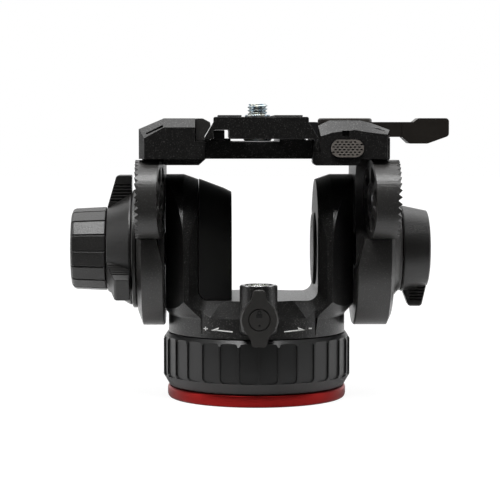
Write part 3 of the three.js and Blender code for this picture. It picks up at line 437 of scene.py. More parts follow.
nylon = moulded("moulded_nylon", (0.008, 0.008, 0.008), 1500, 0.00003, (0.32, 0.42))
ring_low, ring_high = flange_top + 0.5, 31.6
ring_bore, ring_radius, ring_flat = 36, 45.4, 44.4
ring = turned(
    [
        (ring_bore, ring_low), (ring_radius - 2.9, ring_low), (ring_radius, ring_low + 5),
        (ring_radius, ring_high - 3), (ring_radius - 2, ring_high), (ring_bore, ring_high),
    ],
    steps=240,
)
panel_count, panel_half, panel_low, panel_high, panel_corner = 30, 4.3, 11.3, 30.4, 2.2
panel = pushed(
    rectangle(-panel_half, panel_low, panel_half, panel_high, panel_corner),
    ring_flat, ring_radius + 3, "Y", arcs=4,
)
ring = shaped(ring, joined(*around(panel, panel_count, "Z", start=math.pi / panel_count)))
shown(
    "drag_ring", ring, nylon, "pan_drag", "pan_drag_ring",
    bevel=0.22, angle=12, slot="moulded_black",
)


# Yoke. One aluminium casting with a speckled black powder coat: a round drum that flares into
# two arms, with a bevelled window between them, a skirt below and the boss of the lock ahead.
def powder(name, colour, speck, gloss):
    """Powder coat: a pebbled skin with sparse pale specks, of a gloss between two roughnesses."""
    coat = Coat(name, colour)
    grain = coat.noise(1800, 1, 0.7)
    pebble = coat.noise(1200, 1, 0.5)
    specks = coat.ramp(grain, [(0.60, 0), (0.70, 1)])
    coat.set(
        Base_Color=coat.mix(specks * 0.42, colour, speck),
        Roughness=coat.gloss(pebble, *gloss),
        Normal=coat.bump(grain * 0.5 + pebble * 0.5, 0.00009),
    )
    return coat


def rod(radius, low, high, axis="Z", centre=(0, 0, 0), steps=144):
    """A solid cylinder from one level to another."""
    return turned([(0, low), (radius, low), (radius, high), (0, high)], axis, centre, steps)


cast = powder("cast_powder", (0.008, 0.0078, 0.0075), (0.20, 0.195, 0.19), (0.3, 0.38))
yoke_low, drum_radius, flare_start, flare_foot = 32.1, 42.8, 40.6, 49.6
tilt = 72
arm_radius, arm_ridge, left_width, right_width = 36.2, 34.9, 43.8, 46.1
side_half = 14
window, window_floor = 28.3, 49
arm_top = tilt + arm_radius
widest = right_width + arm_radius
flare = [
    (0, yoke_low), (drum_radius, yoke_low), (drum_radius, flare_start),
    (drum_radius + 0.4, flare_start + 0.8), (drum_radius + 8, flare_foot),
    (widest, flare_foot + widest - drum_radius - 8), (widest, arm_top + 3), (0, arm_top + 3),
]
plan = pushed(
    [
        (-left_width, -side_half), (-arm_ridge, -arm_radius), (arm_ridge, -arm_radius),
        (right_width, -side_half), (right_width, side_half), (arm_ridge, arm_radius),
        (-arm_ridge, arm_radius), (-left_width, side_half),
    ],
    yoke_low,
    arm_top,
)


def lofted(outlines, levels, axis="Z"):
    """A skin over outlines of equally many points, each at its own level, closed at its ends."""
    form = bmesh.new()
    rings = []
    for points, level in zip(outlines, levels):
        loop = [form.verts.new((*point, level)) for point in points]
        rings.append([form.edges.new(pair) for pair in zip(loop, loop[1:] + loop[:1])])
        if len(rings) in (1, len(levels)):
            form.faces.new(loop)
    for lower, upper in zip(rings, rings[1:]):
        bmesh.ops.bridge_loops(form, edges=lower + upper)
    return laid(form, axis)


def arch_outline(half, top, foot, steps=72):
    turns = [math.pi * k / steps for k in range(steps + 1)]
    return [(-half, foot), (half, foot)] + [
        (half * math.cos(turn), top - half * (1 - math.sin(turn))) for turn in turns
    ]


taper_start, taper_end = 35.3, 25.3
slim = arm_radius - 0.35 * (taper_start - taper_end)
halves = [
    (-left_width - 4.2, arm_radius), (-taper_start, arm_radius), (-taper_end, slim),
    (taper_end, slim), (taper_start, arm_radius), (right_width + 2.9, arm_radius),
]
arch = lofted(
    [arch_outline(half, tilt + half, yoke_low - 3) for _, half in halves],
    [level for level, _ in halves],
    "X",
)
arms = shaped(plan, turned(flare, steps=192), arch, operation="INTERSECT")
drum = rod(drum_radius, yoke_low, window_floor, steps=192)
drum_and_arms = shaped(drum, arms, operation="UNION")


def window_outline(grow):
    low, side = window_floor - 1.5 * grow, window + grow
    corner = 5 + 0.6 * grow
    bend = [math.pi / 2 * k / 8 for k in range(9)]
    left = [(-side + corner * (1 - math.cos(t)), low + corner * (1 - math.sin(t))) for t in bend]
    right = [(-u, v) for u, v in reversed(left)]
    return left + right + [(side, arm_top + 14), (-side, arm_top + 14)]


bevel_start, bevel_reach, bevel_slope = 28.5, 11, 1.6
window_cut = lofted(
    [window_outline(bevel_reach), window_outline(0), window_outline(0), window_outline(bevel_reach)],
    [
        -bevel_start - bevel_reach * bevel_slope, -bevel_start,
        bevel_start, bevel_start + bevel_reach * bevel_slope,
    ],
    "Y",
)
sill = window_floor - 0.01
above_floor = turned(
    [
        (0, sill), (33, sill), (drum_radius, flare_start + 1), (70, flare_start - 19.8),
        (70, arm_top + 31.8), (0, arm_top + 31.8),
    ],
    steps=192,
)
window_cut = shaped(window_cut, above_floor, operation="INTERSECT")
boss_y, boss_low, boss_top, boss_radius, lock_height = -43, 35, 57.4, 8.8, 43
level_centre = (0, boss_y, 0)
boss = turned(
    [
        (0, boss_low), (boss_radius - 0.9, boss_low), (boss_radius, boss_low + 1.2),
        (boss_radius, boss_top), (0, boss_top),
    ],
    "Z", level_centre,
)
skirt_inner, skirt_low, ceiling_low, spindle_room = 30.8, 9, 28, 10.8
skirt = tube(skirt_inner, ring_bore - 0.5, skirt_low, yoke_low + 0.9)
ceiling = rod(skirt_inner + 2.2, ceiling_low, boss_low, steps=96)
frame_body = shaped(drum_and_arms, window_cut)
frame_body = shaped(frame_body, skirt, ceiling, boss, operation="UNION")
bezel_radius, bezel_low, vial_radius, vial_low = 8.25, 56.4, 6.2, 52.4
axle_radius, lock_screw_room = 11.6, 3.3
rooms = [
    rod(bezel_radius + 0.05, bezel_low, boss_top + 3.6, "Z", level_centre, 72),
    rod(vial_radius + 0.3, vial_low - 0.3, boss_top + 3.6, "Z", level_centre, 72),
    rod(spindle_room, ceiling_low - 3, window_floor - 2.5, steps=72),
    rod(lock_screw_room, -55, 0, "Y", (0, 0, lock_height), 48),
    rod(axle_radius + 0.4, -49, 49, "X", (0, 0, tilt), 96),
]
frame_body = shaped(frame_body, *rooms)
shown("yoke_casting", frame_body, cast, "yoke", "yoke_frame", bevel=0.4, angle=13, slot="cast_black")

# Printed marks. Two half arrows with a plus and a minus, screen printed in white on the drum,
# which say which way the drag ring turns. They are films of ink on the coat.
ink = Coat("white_ink", (0.72, 0.72, 0.70), 0.55)
worn = ink.noise(2600, 2)
ink.finish(worn, 0.5, 0.65, colours=((0.55, 0.55, 0.54), (0.82, 0.82, 0.80)))
ink_back, ink_front, ink_low, ink_high = drum_radius - 0.3, drum_radius + 0.04, 34, 39
strokes = [
    [(-22.2, 35.9), (-18.4, 37.5), (-18.9, 36.3), (-12.0, 35.9), (-12.0, 35.3)],
    [(22.2, 35.9), (18.4, 37.5), (18.9, 36.3), (12.0, 35.9), (12.0, 35.3)],
    [(-24.9, 35.6), (-24.4, 35.6), (-24.4, 37.4), (-24.9, 37.4)],
    [(-25.6, 36.3), (-23.7, 36.3), (-23.7, 36.75), (-25.6, 36.75)],
    [(23.7, 36.3), (25.3, 36.3), (25.3, 36.8), (23.7, 36.8)],
]
film = tube(ink_back, ink_front, ink_low, ink_high, steps=480)
marks = [pushed(stroke, -drum_radius - 3, -30, "Y") for stroke in strokes]
cross = shaped(marks[2], marks[3], operation="UNION")
names = ("left_arrow", "right_arrow", "plus_mark", "minus_mark")
for name, mark in zip(names, (marks[0], marks[1], cross, marks[4])):
    print_film = shaped(mark, film.copy(), operation="INTERSECT")
    shown(name, print_film, ink, "yoke", bevel=0, slot="cast_black")
film.free()

# Spirit level. A round vial of green fluid with its bubble and centre ring, set in a polished
# zinc bezel that is pressed into the top of the boss.
zinc = Coat("zinc_plate", (0.50, 0.60, 0.67), 0.2, 1.0)
bloom = zinc.noise(420, 3)
bluish, yellowish = (0.42, 0.56, 0.68), (0.68, 0.68, 0.62)
zinc.set(
    Base_Color=zinc.mix(zinc.ramp(bloom, [(0.35, 0), (0.65, 1)]), bluish, yellowish),
    Roughness=zinc.gloss(bloom, 0.26, 0.36),
    Normal=zinc.bump(zinc.noise(1800, 2), 0.000006),
)
silver = Coat("polished_bezel", (0.62, 0.62, 0.63), 0.18, 1.0)
brushing = silver.noise(1400, 3)
silver.finish(brushing, 0.26, 0.30)
bezel_bore, bezel_top = 6.6, boss_top + 0.45
bezel = turned(
    [
        (bezel_bore, bezel_low), (bezel_radius, bezel_low), (bezel_radius, bezel_top - 0.15),
        (bezel_radius - 0.15, bezel_top), (bezel_bore + 0.4, bezel_top),
        (bezel_bore, bezel_top - 0.35),
    ],
    "Z", level_centre,
)
shown("level_bezel_ring", bezel, silver, "yoke", "level_bezel", bevel=0.1, slot="zinc_steel")
fluid = Coat("level_fluid", (0.55, 0.68, 0.06), 0.05)
x, y, z = fluid.axes()
bubble_x, bubble_y, ring_mark = 0.8, boss_y + 0.7, 2.7
u, v = x, y - boss_y * mm
from_ring = (u * u + v * v).power(0.5) - ring_mark * mm
u, v = x - bubble_x * mm, y - bubble_y * mm
bubble = fluid.ramp((u * u + v * v).power(0.5) * 200, [(0.34, 1), (0.38, 0)])
centre_ring = fluid.ramp(from_ring * from_ring * 9e6, [(0.15, 1), (0.4, 0)])
bubbly = fluid.mix(bubble, (0.50, 0.64, 0.05), (0.80, 0.88, 0.42))
fluid.set(
    Base_Color=fluid.mix(centre_ring, bubbly, (0.01, 0.01, 0.01)),
    Coat_Weight=1.0,
    Coat_Roughness=0.03,
    Normal=fluid.bump(bubble, 0.0004),
)
vial = turned(
    [
        (0, vial_low), (vial_radius, vial_low), (vial_radius, boss_top - 0.4), (5.4, boss_top - 0.2),
        (3.6, boss_top - 0.07), (1.8, boss_top - 0.01), (0, boss_top),
    ],
    "Z", level_centre,
)
shown("level_vial_glass", vial, fluid, "yoke", "level_vial", bevel=0, slot="vial")

# Pan lock. A knob moulded in dark grey, with a narrow wing above and a wider one below, and a cap
# in its middle with a padlock and a dot inlaid in black. It turns on a steel screw.
lock_back, lock_front, lock_radius, lock_foot = -52.3, -59.3, 8.8, 7.6
lock_centre = (0, 0, lock_height)
dark_grey = moulded("lock_grey", (0.027, 0.026, 0.0245), 1400, 0.00006, (0.34, 0.44))
lock_body = turned(
    [
        (0, lock_back), (lock_foot, lock_back), (lock_radius, lock_back - 2.3),
        (lock_radius, lock_front + 0.9), (lock_radius - 0.8, lock_front), (0, lock_front),
    ],
    "Y", lock_centre,
)
upper_wing = [
    (-7.2, 4.6), (-3.5, 8.9, 3.5), (-2.6, 13.4, 1.6),
    (2.6, 13.4, 1.6), (3.5, 8.9, 3.5), (7.2, 4.6),
]
lower_wing = [
    (7.4, -4.2), (4.2, -8.6, 3), (3.2, -12.6, 1.5),
    (-3.2, -12.6, 1.5), (-4.2, -8.6, 3), (-7.4, -4.2),
]
wings = [
    pushed(wing, lock_front, lock_back, "Y", lock_centre) for wing in (upper_wing, lower_wing)
]
lock_knob = shaped(lock_body, *wings, operation="UNION")
cap_front, cap_back, cap_radius = lock_front + 0.25, lock_front + 1.2, 4.9
lock_knob = shaped(
    lock_knob,
    rod(cap_radius + 0.3, cap_back, lock_front - 3, "Y", lock_centre, 96),
    rod(lock_screw_room, lock_back - 3.7, lock_back + 2.3, "Y", lock_centre, 48),
)
shown(
    "pan_lock_grip", lock_knob, dark_grey, "pan_lock", "pan_lock_knob",
    bevel=0.5, angle=30, segments=3, slot="moulded_black",
)
cap = turned(
    [
        (0, cap_back), (cap_radius, cap_back), (cap_radius, cap_front + 0.2),
        (cap_radius - 0.3, cap_front), (0, cap_front),
    ],
    "Y", lock_centre, steps=96,
)
mark_back, mark_front = cap_front - 1, cap_front + 0.3
padlock = pushed(rectangle(-1.4, 0.9, 1.4, 2.7, 0.2), mark_back, mark_front, "Y", lock_centre)
shackle = tube(0.5, 1.0, mark_back, mark_front, "Y", (0, 0, lock_height + 3.3), 32)
keyhole = rod(0.5, mark_back, mark_front, "Y", (0, 0, lock_height - 2.6), 24)
layer = rod(4.5, cap_front + 0.12, cap_front + 0.29, "Y", lock_centre, 96)
inlay = joined(*[
    shaped(sunk.copy(), layer.copy(), operation="INTERSECT") for sunk in (padlock, shackle, keyhole)
])
layer.free()
cap = shaped(cap, padlock, shackle, keyhole)
shown(
    "pan_lock_badge", cap, dark_grey, "pan_lock", "pan_lock_cap",
    bevel=0.08, angle=30, slot="moulded_black",
)
paint = moulded("black_paint", (0.001, 0.001, 0.001), 1500, 0.00001, (0.75, 0.9))
shown("pan_lock_mark", inlay, paint, "pan_lock", bevel=0, slot="moulded_black")

# Arm covers. On the left arm a tapered housing, moulded in black, holds the counterbalance
# spring. On the right a flat round cover closes the bore of the axle.
smooth_black = moulded("moulded_cover", (0.012, 0.012, 0.012), 1800, 0.000015, (0.32, 0.46))
tilt_centre = (0, 0, tilt)
inner_face, housing_half, housing_top = window + 0.05, 28, 106.2
housing = lofted(
    [arch_outline(housing_half - less / 2, housing_top - less, 46) for less in (0, 4.6, 6.5)],
    [-inner_face, -inner_face + 12.3, -inner_face + 16.1],
    "X",
)
housing_fit = pushed(
    [
        (-housing_half, window_floor + 0.3, 5), (housing_half, window_floor + 0.3, 5),
        (housing_half, 110), (-housing_half, 110),
    ],
    -40, 40, "Y",
)
housing = shaped(housing, housing_fit, operation="INTERSECT")
housing = shaped(housing, rod(19.5, -30, -17, "X", tilt_centre))
shown(
    "counterbalance_housing", housing, smooth_black, "yoke", "spring_housing",
    bevel=1.0, angle=25, segments=4, slot="moulded_black",
)
cover_radius, cover_face, groove_in, groove_out = 17.5, 26.8, 10.5, 11.3
cover = turned(
    [
        (0, cover_face), (groove_in, cover_face), (groove_in, cover_face + 0.3),
        (groove_out, cover_face + 0.3), (groove_out, cover_face), (cover_radius - 1, cover_face),
        (cover_radius, cover_face + 0.8), (cover_radius, inner_face), (0, inner_face),
    ],
    "X", tilt_centre,
)
shown(
    "right_arm_cover", cover, smooth_black, "yoke", "right_inner_cover",
    bevel=0.15, slot="moulded_black",
)

# Tilt axles. Two turned steel shafts with a flange in the arm's bore, blackened so that they
# don't shine in the gap beside the arm. On each sits a bearing of bronze.
blackened = Coat("black_oxide", (0.03, 0.03, 0.032), 0.38, 1.0)
oxide = blackened.noise(1200, 3)
blackened.finish(oxide, 0.32, 0.5, 0.000012)
spindle_radius, axle_inner, left_end, left_tip, right_end = 8, 28.6, 56.8, 17.5, 58.5
left_axle = turned(
    [
        (0, -left_end), (spindle_radius, -left_end), (spindle_radius, 0.3 - left_width),
        (axle_radius, 0.3 - left_width), (axle_radius, -axle_inner), (spindle_radius, -axle_inner),
        (spindle_radius, -left_tip), (0, -left_tip),
    ],
    "X", tilt_centre, steps=72,
)
shown("left_axle", left_axle, blackened, "yoke", "left_tilt_axle", bevel=0.3, slot="steel")
right_axle = turned(
    [
        (0, axle_inner), (axle_radius, axle_inner), (axle_radius, right_width - 0.3),
        (spindle_radius, right_width - 0.3), (spindle_radius, right_end), (0, right_end),
    ],
    "X", tilt_centre, steps=72,
)
shown("right_axle", right_axle, blackened, "yoke", "right_tilt_axle", bevel=0.3, slot="steel")
bronze = Coat("bearing_bronze", (0.50, 0.32, 0.13), 0.36, 1.0)
sinter = bronze.noise(2000, 3)
bronze.finish(sinter, 0.3, 0.45, 0.00001, ((0.42, 0.26, 0.10), (0.58, 0.39, 0.18)))

# Running gear. What the housings hide: spindle, nut, damping discs, bearings, springs, pins and
# the stems of the knobs. They keep their plain forms, in steel, bronze or rubber.
def dressed(coat, *names):
    for name in names:
        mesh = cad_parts[name].data
        mesh.materials.clear()
        mesh.materials.append(coat.material)


dressed(
    steel, "pan_spindle", "spindle_nut", "pan_cartridge", "pan_lock_screw", "counterbalance_spring",
    "lever_pin", "button_spring", "counterbalance_stem", "tilt_lock_stem",
)
dressed(blackened, "tilt_brake_disc", "tilt_fixed_disc", "tilt_turning_disc")
dressed(
    bronze, "pan_lower_bearing", "pan_upper_bearing", "pan_brake_shoe", "pan_fixed_disc",
    "left_tilt_bearing", "right_tilt_bearing",
)
rubber = moulded("strip_rubber", (0.014, 0.014, 0.014), 900, 0.00005, (0.62, 0.8))
dressed(rubber, "tilt_brake_pad")

# Side plates. Round aluminium castings about the tilt axis, each with an arm that is bolted to
# the platform from below, an outer chamfer, and a hollow in front in which the rosette sits.
satin_grey = powder("plate_satin", (0.030, 0.029, 0.028), (0.12, 0.118, 0.115), (0.3, 0.37))
deck, rosette_radius = 116.2, 18.45
rosette_y, rosette_z = -35, tilt + 25.2
plate_radius, axle_bore, arm_foot, arm_head = 37.1, 12.3, 31, 24
slope_low, slope_high, room_top = 64, 79, 99


def side_plate(name, node, side, inner, rim, outer, face, room):
    """A disc with its arm: inner face, start and end of its chamfer, and radii of face and room."""
    profile = [
        (axle_bore, inner), (plate_radius - 0.7, inner), (plate_radius, inner + 0.7),
        (plate_radius, rim), (face, outer), (axle_bore, outer),
    ]
    disc = turned([(radius, side * x) for radius, x in profile], "X", tilt_centre, steps=192)
    corners = [(-arm_foot, tilt), (arm_foot, tilt), (arm_head, deck - 0.3), (-arm_head, deck - 0.3)]
    arm = pushed(corners, side * inner, side * (rim - 0.3), "X")
    hollow = rod(room, side * (inner - 3), side * (inner + 6), "X", tilt_centre)
    bore = rod(axle_bore, side * 40, side * 70, "X", tilt_centre, 72)
    notch = rod(rosette_radius + 0.3, side * 40, side * 70, "X", (0, rosette_y, rosette_z))
    body = shaped(disc, arm, operation="UNION")
    cut_away = [
        (inner - 1, slope_low), (inner, slope_low), (inner + 3.5, slope_high),
        (inner + 3.5, room_top), (inner - 1, room_top),
    ]
    below_rosette = pushed([(side * x, z) for x, z in cut_away], -40, -27, "Y")
    body = shaped(body, hollow, bore, notch, below_rosette)
    shown(name, body, satin_grey, "cradle", node, bevel=0.7, angle=22, segments=3, slot="cast_black")


left_inner, right_inner = left_width + 0.5, right_width + 0.5
side_plate(
    "left_housing_plate", "left_side_plate", -1, left_inner,
    rim=54.9, outer=57.3, face=30.5, room=22.4,
)
side_plate(
    "right_housing_plate", "right_side_plate", 1, right_inner,
    rim=62.7, outer=64.5, face=33.2, room=22.1,
)

# Rosettes. Where a pan bar is clamped on: a disc with thirty-six radial teeth, which rise
# outwards, an inner face that slants ahead, six pockets in it, and a steel bush pressed in.
tooth_count, teeth_inner, tooth_rise = 36, 10.5, 1.7
pocket_count, insert_radius, insert_bore = 6, 6.5, 4.2
slant = math.radians(6)


def block(low, high):
    form = bmesh.new()
    bmesh.ops.create_cube(form, size=1)
    sizes = [b - a for a, b in zip(low, high)]
    bmesh.ops.scale(form, vec=sizes, verts=form.verts)
    bmesh.ops.translate(form, vec=[(a + b) / 2 for a, b in zip(low, high)], verts=form.verts)
    return form


def toothed_disc(valley):
    form = bmesh.new()
    rows = []
    for tooth in range(tooth_count):
        for share, rise in ((-0.06, 0), (0.06, 0), (0.45, tooth_rise), (0.55, tooth_rise)):
            turn = math.tau * (tooth + share) / tooth_count
            c, s = math.cos(turn), math.sin(turn)
            lower = valley + rise * teeth_inner / rosette_radius
            rows.append([
                form.verts.new((r * c, r * s, height))
                for r, height in (
                    (teeth_inner, 0), (rosette_radius, 0), (rosette_radius, valley + rise),
                    (teeth_inner, lower),
                )
            ])
    for row, beside in zip(rows, rows[1:] + rows[:1]):
        for k in range(4):
            n = (k + 1) % 4
            form.faces.new((row[k], row[n], beside[n], beside[k]))
    return laid(form, "X")


def rosette(name, node, side, inner, outer, start, hub_face):
    """A disc from its inner end to its tips, whose slanted back starts at a place along Y."""
    valley = outer - inner - tooth_rise
    sunk = (start + rosette_radius) * math.tan(slant)
    bush_start = (start + insert_radius) * math.tan(slant) + 0.3
    hub = tube(insert_radius + 0.3, teeth_inner + 1.1, 0, hub_face, "X", steps=72)
    reach = math.pi / pocket_count * 0.72
    corners = [
        (radius * math.cos(turn), radius * math.sin(turn), 1)
        for radius, turn in ((9, -reach), (15.6, -reach), (15.9, 0), (15.6, reach), (9, reach))
    ]
    pocket = pushed(corners, -3, sunk + 2.2, "X", arcs=3)
    tilted = Matrix.Translation((0, side * start, 0)) @ Matrix.Rotation(side * slant, 4, "Z")
    wedge = copied(block((-60, -60, -60), (0, 60, 60)), tilted)
    disc = shaped(toothed_disc(valley), hub, operation="UNION")
    disc = shaped(disc, wedge, joined(*around(pocket, pocket_count, "X")))
    half_turn = 0 if side > 0 else math.pi
    place = Matrix.Translation((side * inner, rosette_y, rosette_z)) @ Matrix.Rotation(
        half_turn, 4, "Z"
    )
    shown(
        name + "_disc", copied(disc, place), satin_grey, "cradle", node,
        bevel=0.2, angle=30, slot="cast_black",
    )
    bush = turned(
        [
            (insert_bore + 0.5, bush_start), (insert_radius, bush_start),
            (insert_radius, hub_face - 0.3), (insert_bore + 0.5, hub_face - 0.3),
            (insert_bore, hub_face - 0.8), (insert_bore, bush_start + 0.5),
        ],
        "X", steps=72,
    )
    shown(
        name + "_insert", copied(bush, place), steel, "cradle", node + "_bush",
        bevel=0.1, slot="steel",
    )


rosette("left_toothed", "left_rosette", -1, left_inner, outer=57.3, start=9, hub_face=8.9)
rosette(
    "right_toothed", "right_rosette", 1,
    inner=50.4, outer=65.8, start=rosette_radius, hub_face=9.4,
)

# Tilt drag ring. Moulded in black: a cone with three wings, each with six grip grooves on both
# its flanks, which turns on a flat base ring.
grip = moulded("moulded_grip", (0.012, 0.0115, 0.011), 1300, 0.0001, (0.32, 0.42))
stem_room, base_radius, base_start, base_end = 5.5, 28.7, -57.6, -60
base_ring = turned(
    [
        (stem_room, base_start), (base_radius - 0.6, base_start), (base_radius, base_start - 0.5),
        (base_radius, base_end + 0.5), (base_radius - 0.6, base_end), (stem_room, base_end),
    ],
    "X", tilt_centre,
)
shown(
    "tilt_ring_base", base_ring, grip, "cradle", "tilt_base_ring", bevel=0.2, slot="moulded_black"
)
ring_start, ring_end, cone_root, cone_tip = -60.5, -72.1, 27.2, 20.4
cone = turned(
    [
        (stem_room, ring_start), (cone_root, ring_start), (cone_root, ring_start - 0.8),
        (cone_tip + 0.7, ring_end + 0.7), (cone_tip, ring_end), (stem_room, ring_end),
    ],
    "X", tilt_centre,
)


def eased_wing(outline, half, radius=1.2):
    """A wing of a knob: its outline pushed sideways, with rounded long edges."""
    solid = pushed(outline, -half, half, "Y")
    long_edges = [e for e in solid.edges if abs(e.verts[0].co.y - e.verts[1].co.y) < 1e-4]
    bmesh.ops.bevel(
        solid, geom=long_edges, offset=radius, offset_type="OFFSET", affect="EDGES",
        segments=3, profile=0.5, material=-1, clamp_overlap=True,
    )
    return solid


groove_count, groove_half, groove_depth = 6, 0.55, 0.8


def grooves(pitch, first, half, low, high):
    """Prisms along X that cut a row of V grooves into both flanks of a wing."""
    cuts = []
    for k in range(groove_count):
        at = first - k * pitch
        for flank in (-half, half):
            corners = [
                (flank, at - groove_half), (flank + groove_depth, at),
                (flank, at + groove_half), (flank - groove_depth, at),
            ]
            cuts.append(pushed(corners, low, high, "X"))
    return joined(*cuts)


wing_half, wing_top = 6, 35.8
drag_wing = eased_wing(
    [
        (ring_start, 8), (ring_end, 8), (ring_end, cone_tip + 0.2, 2),
        (ring_end + 4.4, wing_top, 1.8), (ring_start, wing_top, 0.6),
    ],
    wing_half,
)
drag_wing = shaped(
    drag_wing, grooves(1.5, wing_top - 4.8, wing_half, ring_end - 3, ring_start + 3)
)
wings = around(copied(drag_wing, Matrix.Translation(tilt_centre)), 3, "X", tilt_centre)
drag_body = shaped(cone, *wings, operation="UNION")
shown(
    "tilt_winged_ring", drag_body, grip, "tilt_drag", "tilt_drag_ring",
    bevel=0.22, angle=28, slot="moulded_black",
)

# Counterbalance knob. Moulded in black with sixteen flats, a groove between each two of them,
# and a dished end. It turns with its steel stem.
knob_sides = 16


def fluted(radius, sunk=0.6, half=0.026):
    points = []
    for k in range(knob_sides):
        edge = math.tau * k / knob_sides
        for turn, less in ((-half, 0), (-half / 3, sunk), (half / 3, sunk), (half, 0)):
            reach = radius / math.cos(math.pi / knob_sides - abs(turn)) - less
            points.append((reach * math.cos(edge + turn), reach * math.sin(edge + turn)))
    return points


knob_start, knob_end, dish_radius, stem_fit = 72.6, 89.4, 13.2, 5.3
knob_levels = [
    (knob_start, 19.6), (knob_start + 0.5, 20.0), (knob_end - 2.2, 19.3), (knob_end - 1, 18.9),
    (knob_end - 0.3, 18.0), (knob_end, 17.0),
]
knob = lofted([fluted(radius) for _, radius in knob_levels], [-x for x, _ in knob_levels], "X")
bmesh.ops.translate(knob, vec=tilt_centre, verts=knob.verts)
dish = turned(
    [
        (0, 0.7 - knob_end), (dish_radius - 0.7, 0.7 - knob_end), (dish_radius, 0.3 - knob_end),
        (dish_radius, -knob_end - 2.6), (0, -knob_end - 2.6),
    ],
    "X", tilt_centre, steps=96,
)
knob = shaped(knob, dish, rod(stem_fit, -60, -78.5, "X", tilt_centre, 48))
shown(
    "counterbalance_grip", knob, grip, "counterbalance", "counterbalance_knob",
    bevel=0.2, angle=32, slot="moulded_black",
)

# Tilt lock. A cast collar, and a moulded knob with a domed end and one wing, with six grooves
# on both of its flanks. Its steel stem presses a pad against the brake disc.
collar_start, collar_end, collar_rim, collar_neck = 64.8, 69.4, 24.3, 20.6
collar = turned(
    [
        (stem_room, collar_start), (collar_rim, collar_start), (collar_rim, collar_start + 0.6),
        (collar_neck, collar_end - 0.8), (collar_neck, collar_end), (stem_room, collar_end),
    ],
    "X", tilt_centre,
)
shown("tilt_collar", collar, satin_grey, "cradle", "tilt_lock_collar", bevel=0.4, slot="cast_black")
dome_start, dome_radius, cap_start, stem_end = 82.4, 18.4, collar_end + 0.5, 75.8
arc = [math.pi / 2 * k / 8 for k in range(8)]
dome = [(dome_radius * math.sin(t), dome_start + 1.8 * math.cos(t)) for t in arc]
lock_cap = turned(
    [
        *dome, (dome_radius, dome_start), (20.9, cap_start + 0.7), (20.6, cap_start),
        (stem_fit, cap_start), (stem_fit, stem_end), (0, stem_end),
    ],
    "X", tilt_centre,
)
wing_foot, wing_half = tilt - 28, 4.5
lock_wing = eased_wing(
    [
        (71.2, tilt - 20.9), (70.6, tilt - 4), (dome_start, tilt - 4),
        (dome_start, tilt - dome_radius), (80.2, wing_foot, 1.6), (73.9, wing_foot, 1.6),
    ],
    wing_half,
)
lock_wing = shaped(lock_wing, grooves(1.46, tilt - 17.3, wing_half, 74.2, 86))
lock_cap = shaped(lock_cap, lock_wing, operation="UNION")
shown(
    "tilt_lock_grip", lock_cap, grip, "tilt_lock", "tilt_lock_knob",
    bevel=0.25, angle=28, slot="moulded_black",
)

# Platform. The top casting, in black powder coat: a block with a sloping shoulder on the left, a
# trough between two rails, and a shelf for the lever behind a crest. Ends are bevelled.
platform_half, block_top, jaw_seat, shelf, deck_left, deck_right = 45, 135, 124.5, 125.8, 32.4, 60.9
rail_in, rail_out, rail_top, trough = 12.9, 22.2, 125.3, 124
front = -platform_half


def left_block(drop, inset):
    return [
        (inset - 55.5, deck), (-29.4, deck), (-29.4, block_top - drop), (-43.8, block_top - drop),
        (inset - 55.5, 130 - drop),
    ]


full, eased = (0, 0), (4.2, 2.7)
block_ends = [front, front + 5, platform_half - 5, platform_half]
block_left = lofted([left_block(*s) for s in (eased, full, full, eased)], block_ends, "Y")
crest_full = [
    (27.7, deck), (deck_right, deck), (deck_right, 129.6), (52.2, 132.8), (47, 134), (32.8, 134),
    (27.7, 131.6),
]
crest_eased = [
    (28.7, deck), (59.5, deck), (59.5, 127.5), (51, 128.5), (44.5, 129.6), (34, 128.4), (28.7, 126.7),
]
crest = lofted([crest_eased, crest_full], block_ends[:2], "Y")
deck_shape = [
    (-deck_left, deck), (deck_right, deck), (deck_right, shelf), (28.9, shelf), (28.9, jaw_seat),
    (rail_out, jaw_seat), (rail_out, rail_top), (9.8, rail_top), (9.8, trough), (-rail_in, trough),
    (-rail_in, rail_top), (-rail_out, rail_top), (-rail_out, jaw_seat), (-deck_left, jaw_seat),
]
recess_left, recess_right = -24.9, 25.2
deck_body = pushed(deck_shape, front + 2.5, platform_half, "Y")
deck_body = shaped(
    deck_body, block((recess_left, front - 5, 110), (recess_right, front + 7, 130))
)
ledge = block((-deck_left, front, deck), (recess_left, front + 3, jaw_seat))
rib_low = deck - 3
rib = pushed(
    [
        (-44, rib_low, 0.8), (-27.7, rib_low, 0.8), (-24.4, deck), (-24.4, deck + 3), (-44, deck + 3),
    ],
    front + 9, 40, "Y",
)
button_boss = pushed(
    [(25, deck + 3), (25, rib_low, 2), (47, rib_low, 2), (47, deck + 3)], front, front + 12, "Y"
)
casting = shaped(block_left, crest, deck_body, ledge, rib, button_boss, operation="UNION")
button_x, button_z, button_half, button_rise = 40.9, 121.1, 7.6, 4.05


def pill(gap, low, high):
    """The button's outline, or one a gap wider all round, as a solid."""
    half, rise = button_half + gap, button_rise + gap
    outline = rectangle(
        button_x - half, button_z - rise, button_x + half, button_z + rise, rise - 0.05
    )
    return pushed(outline, low, high, "Y", arcs=16)


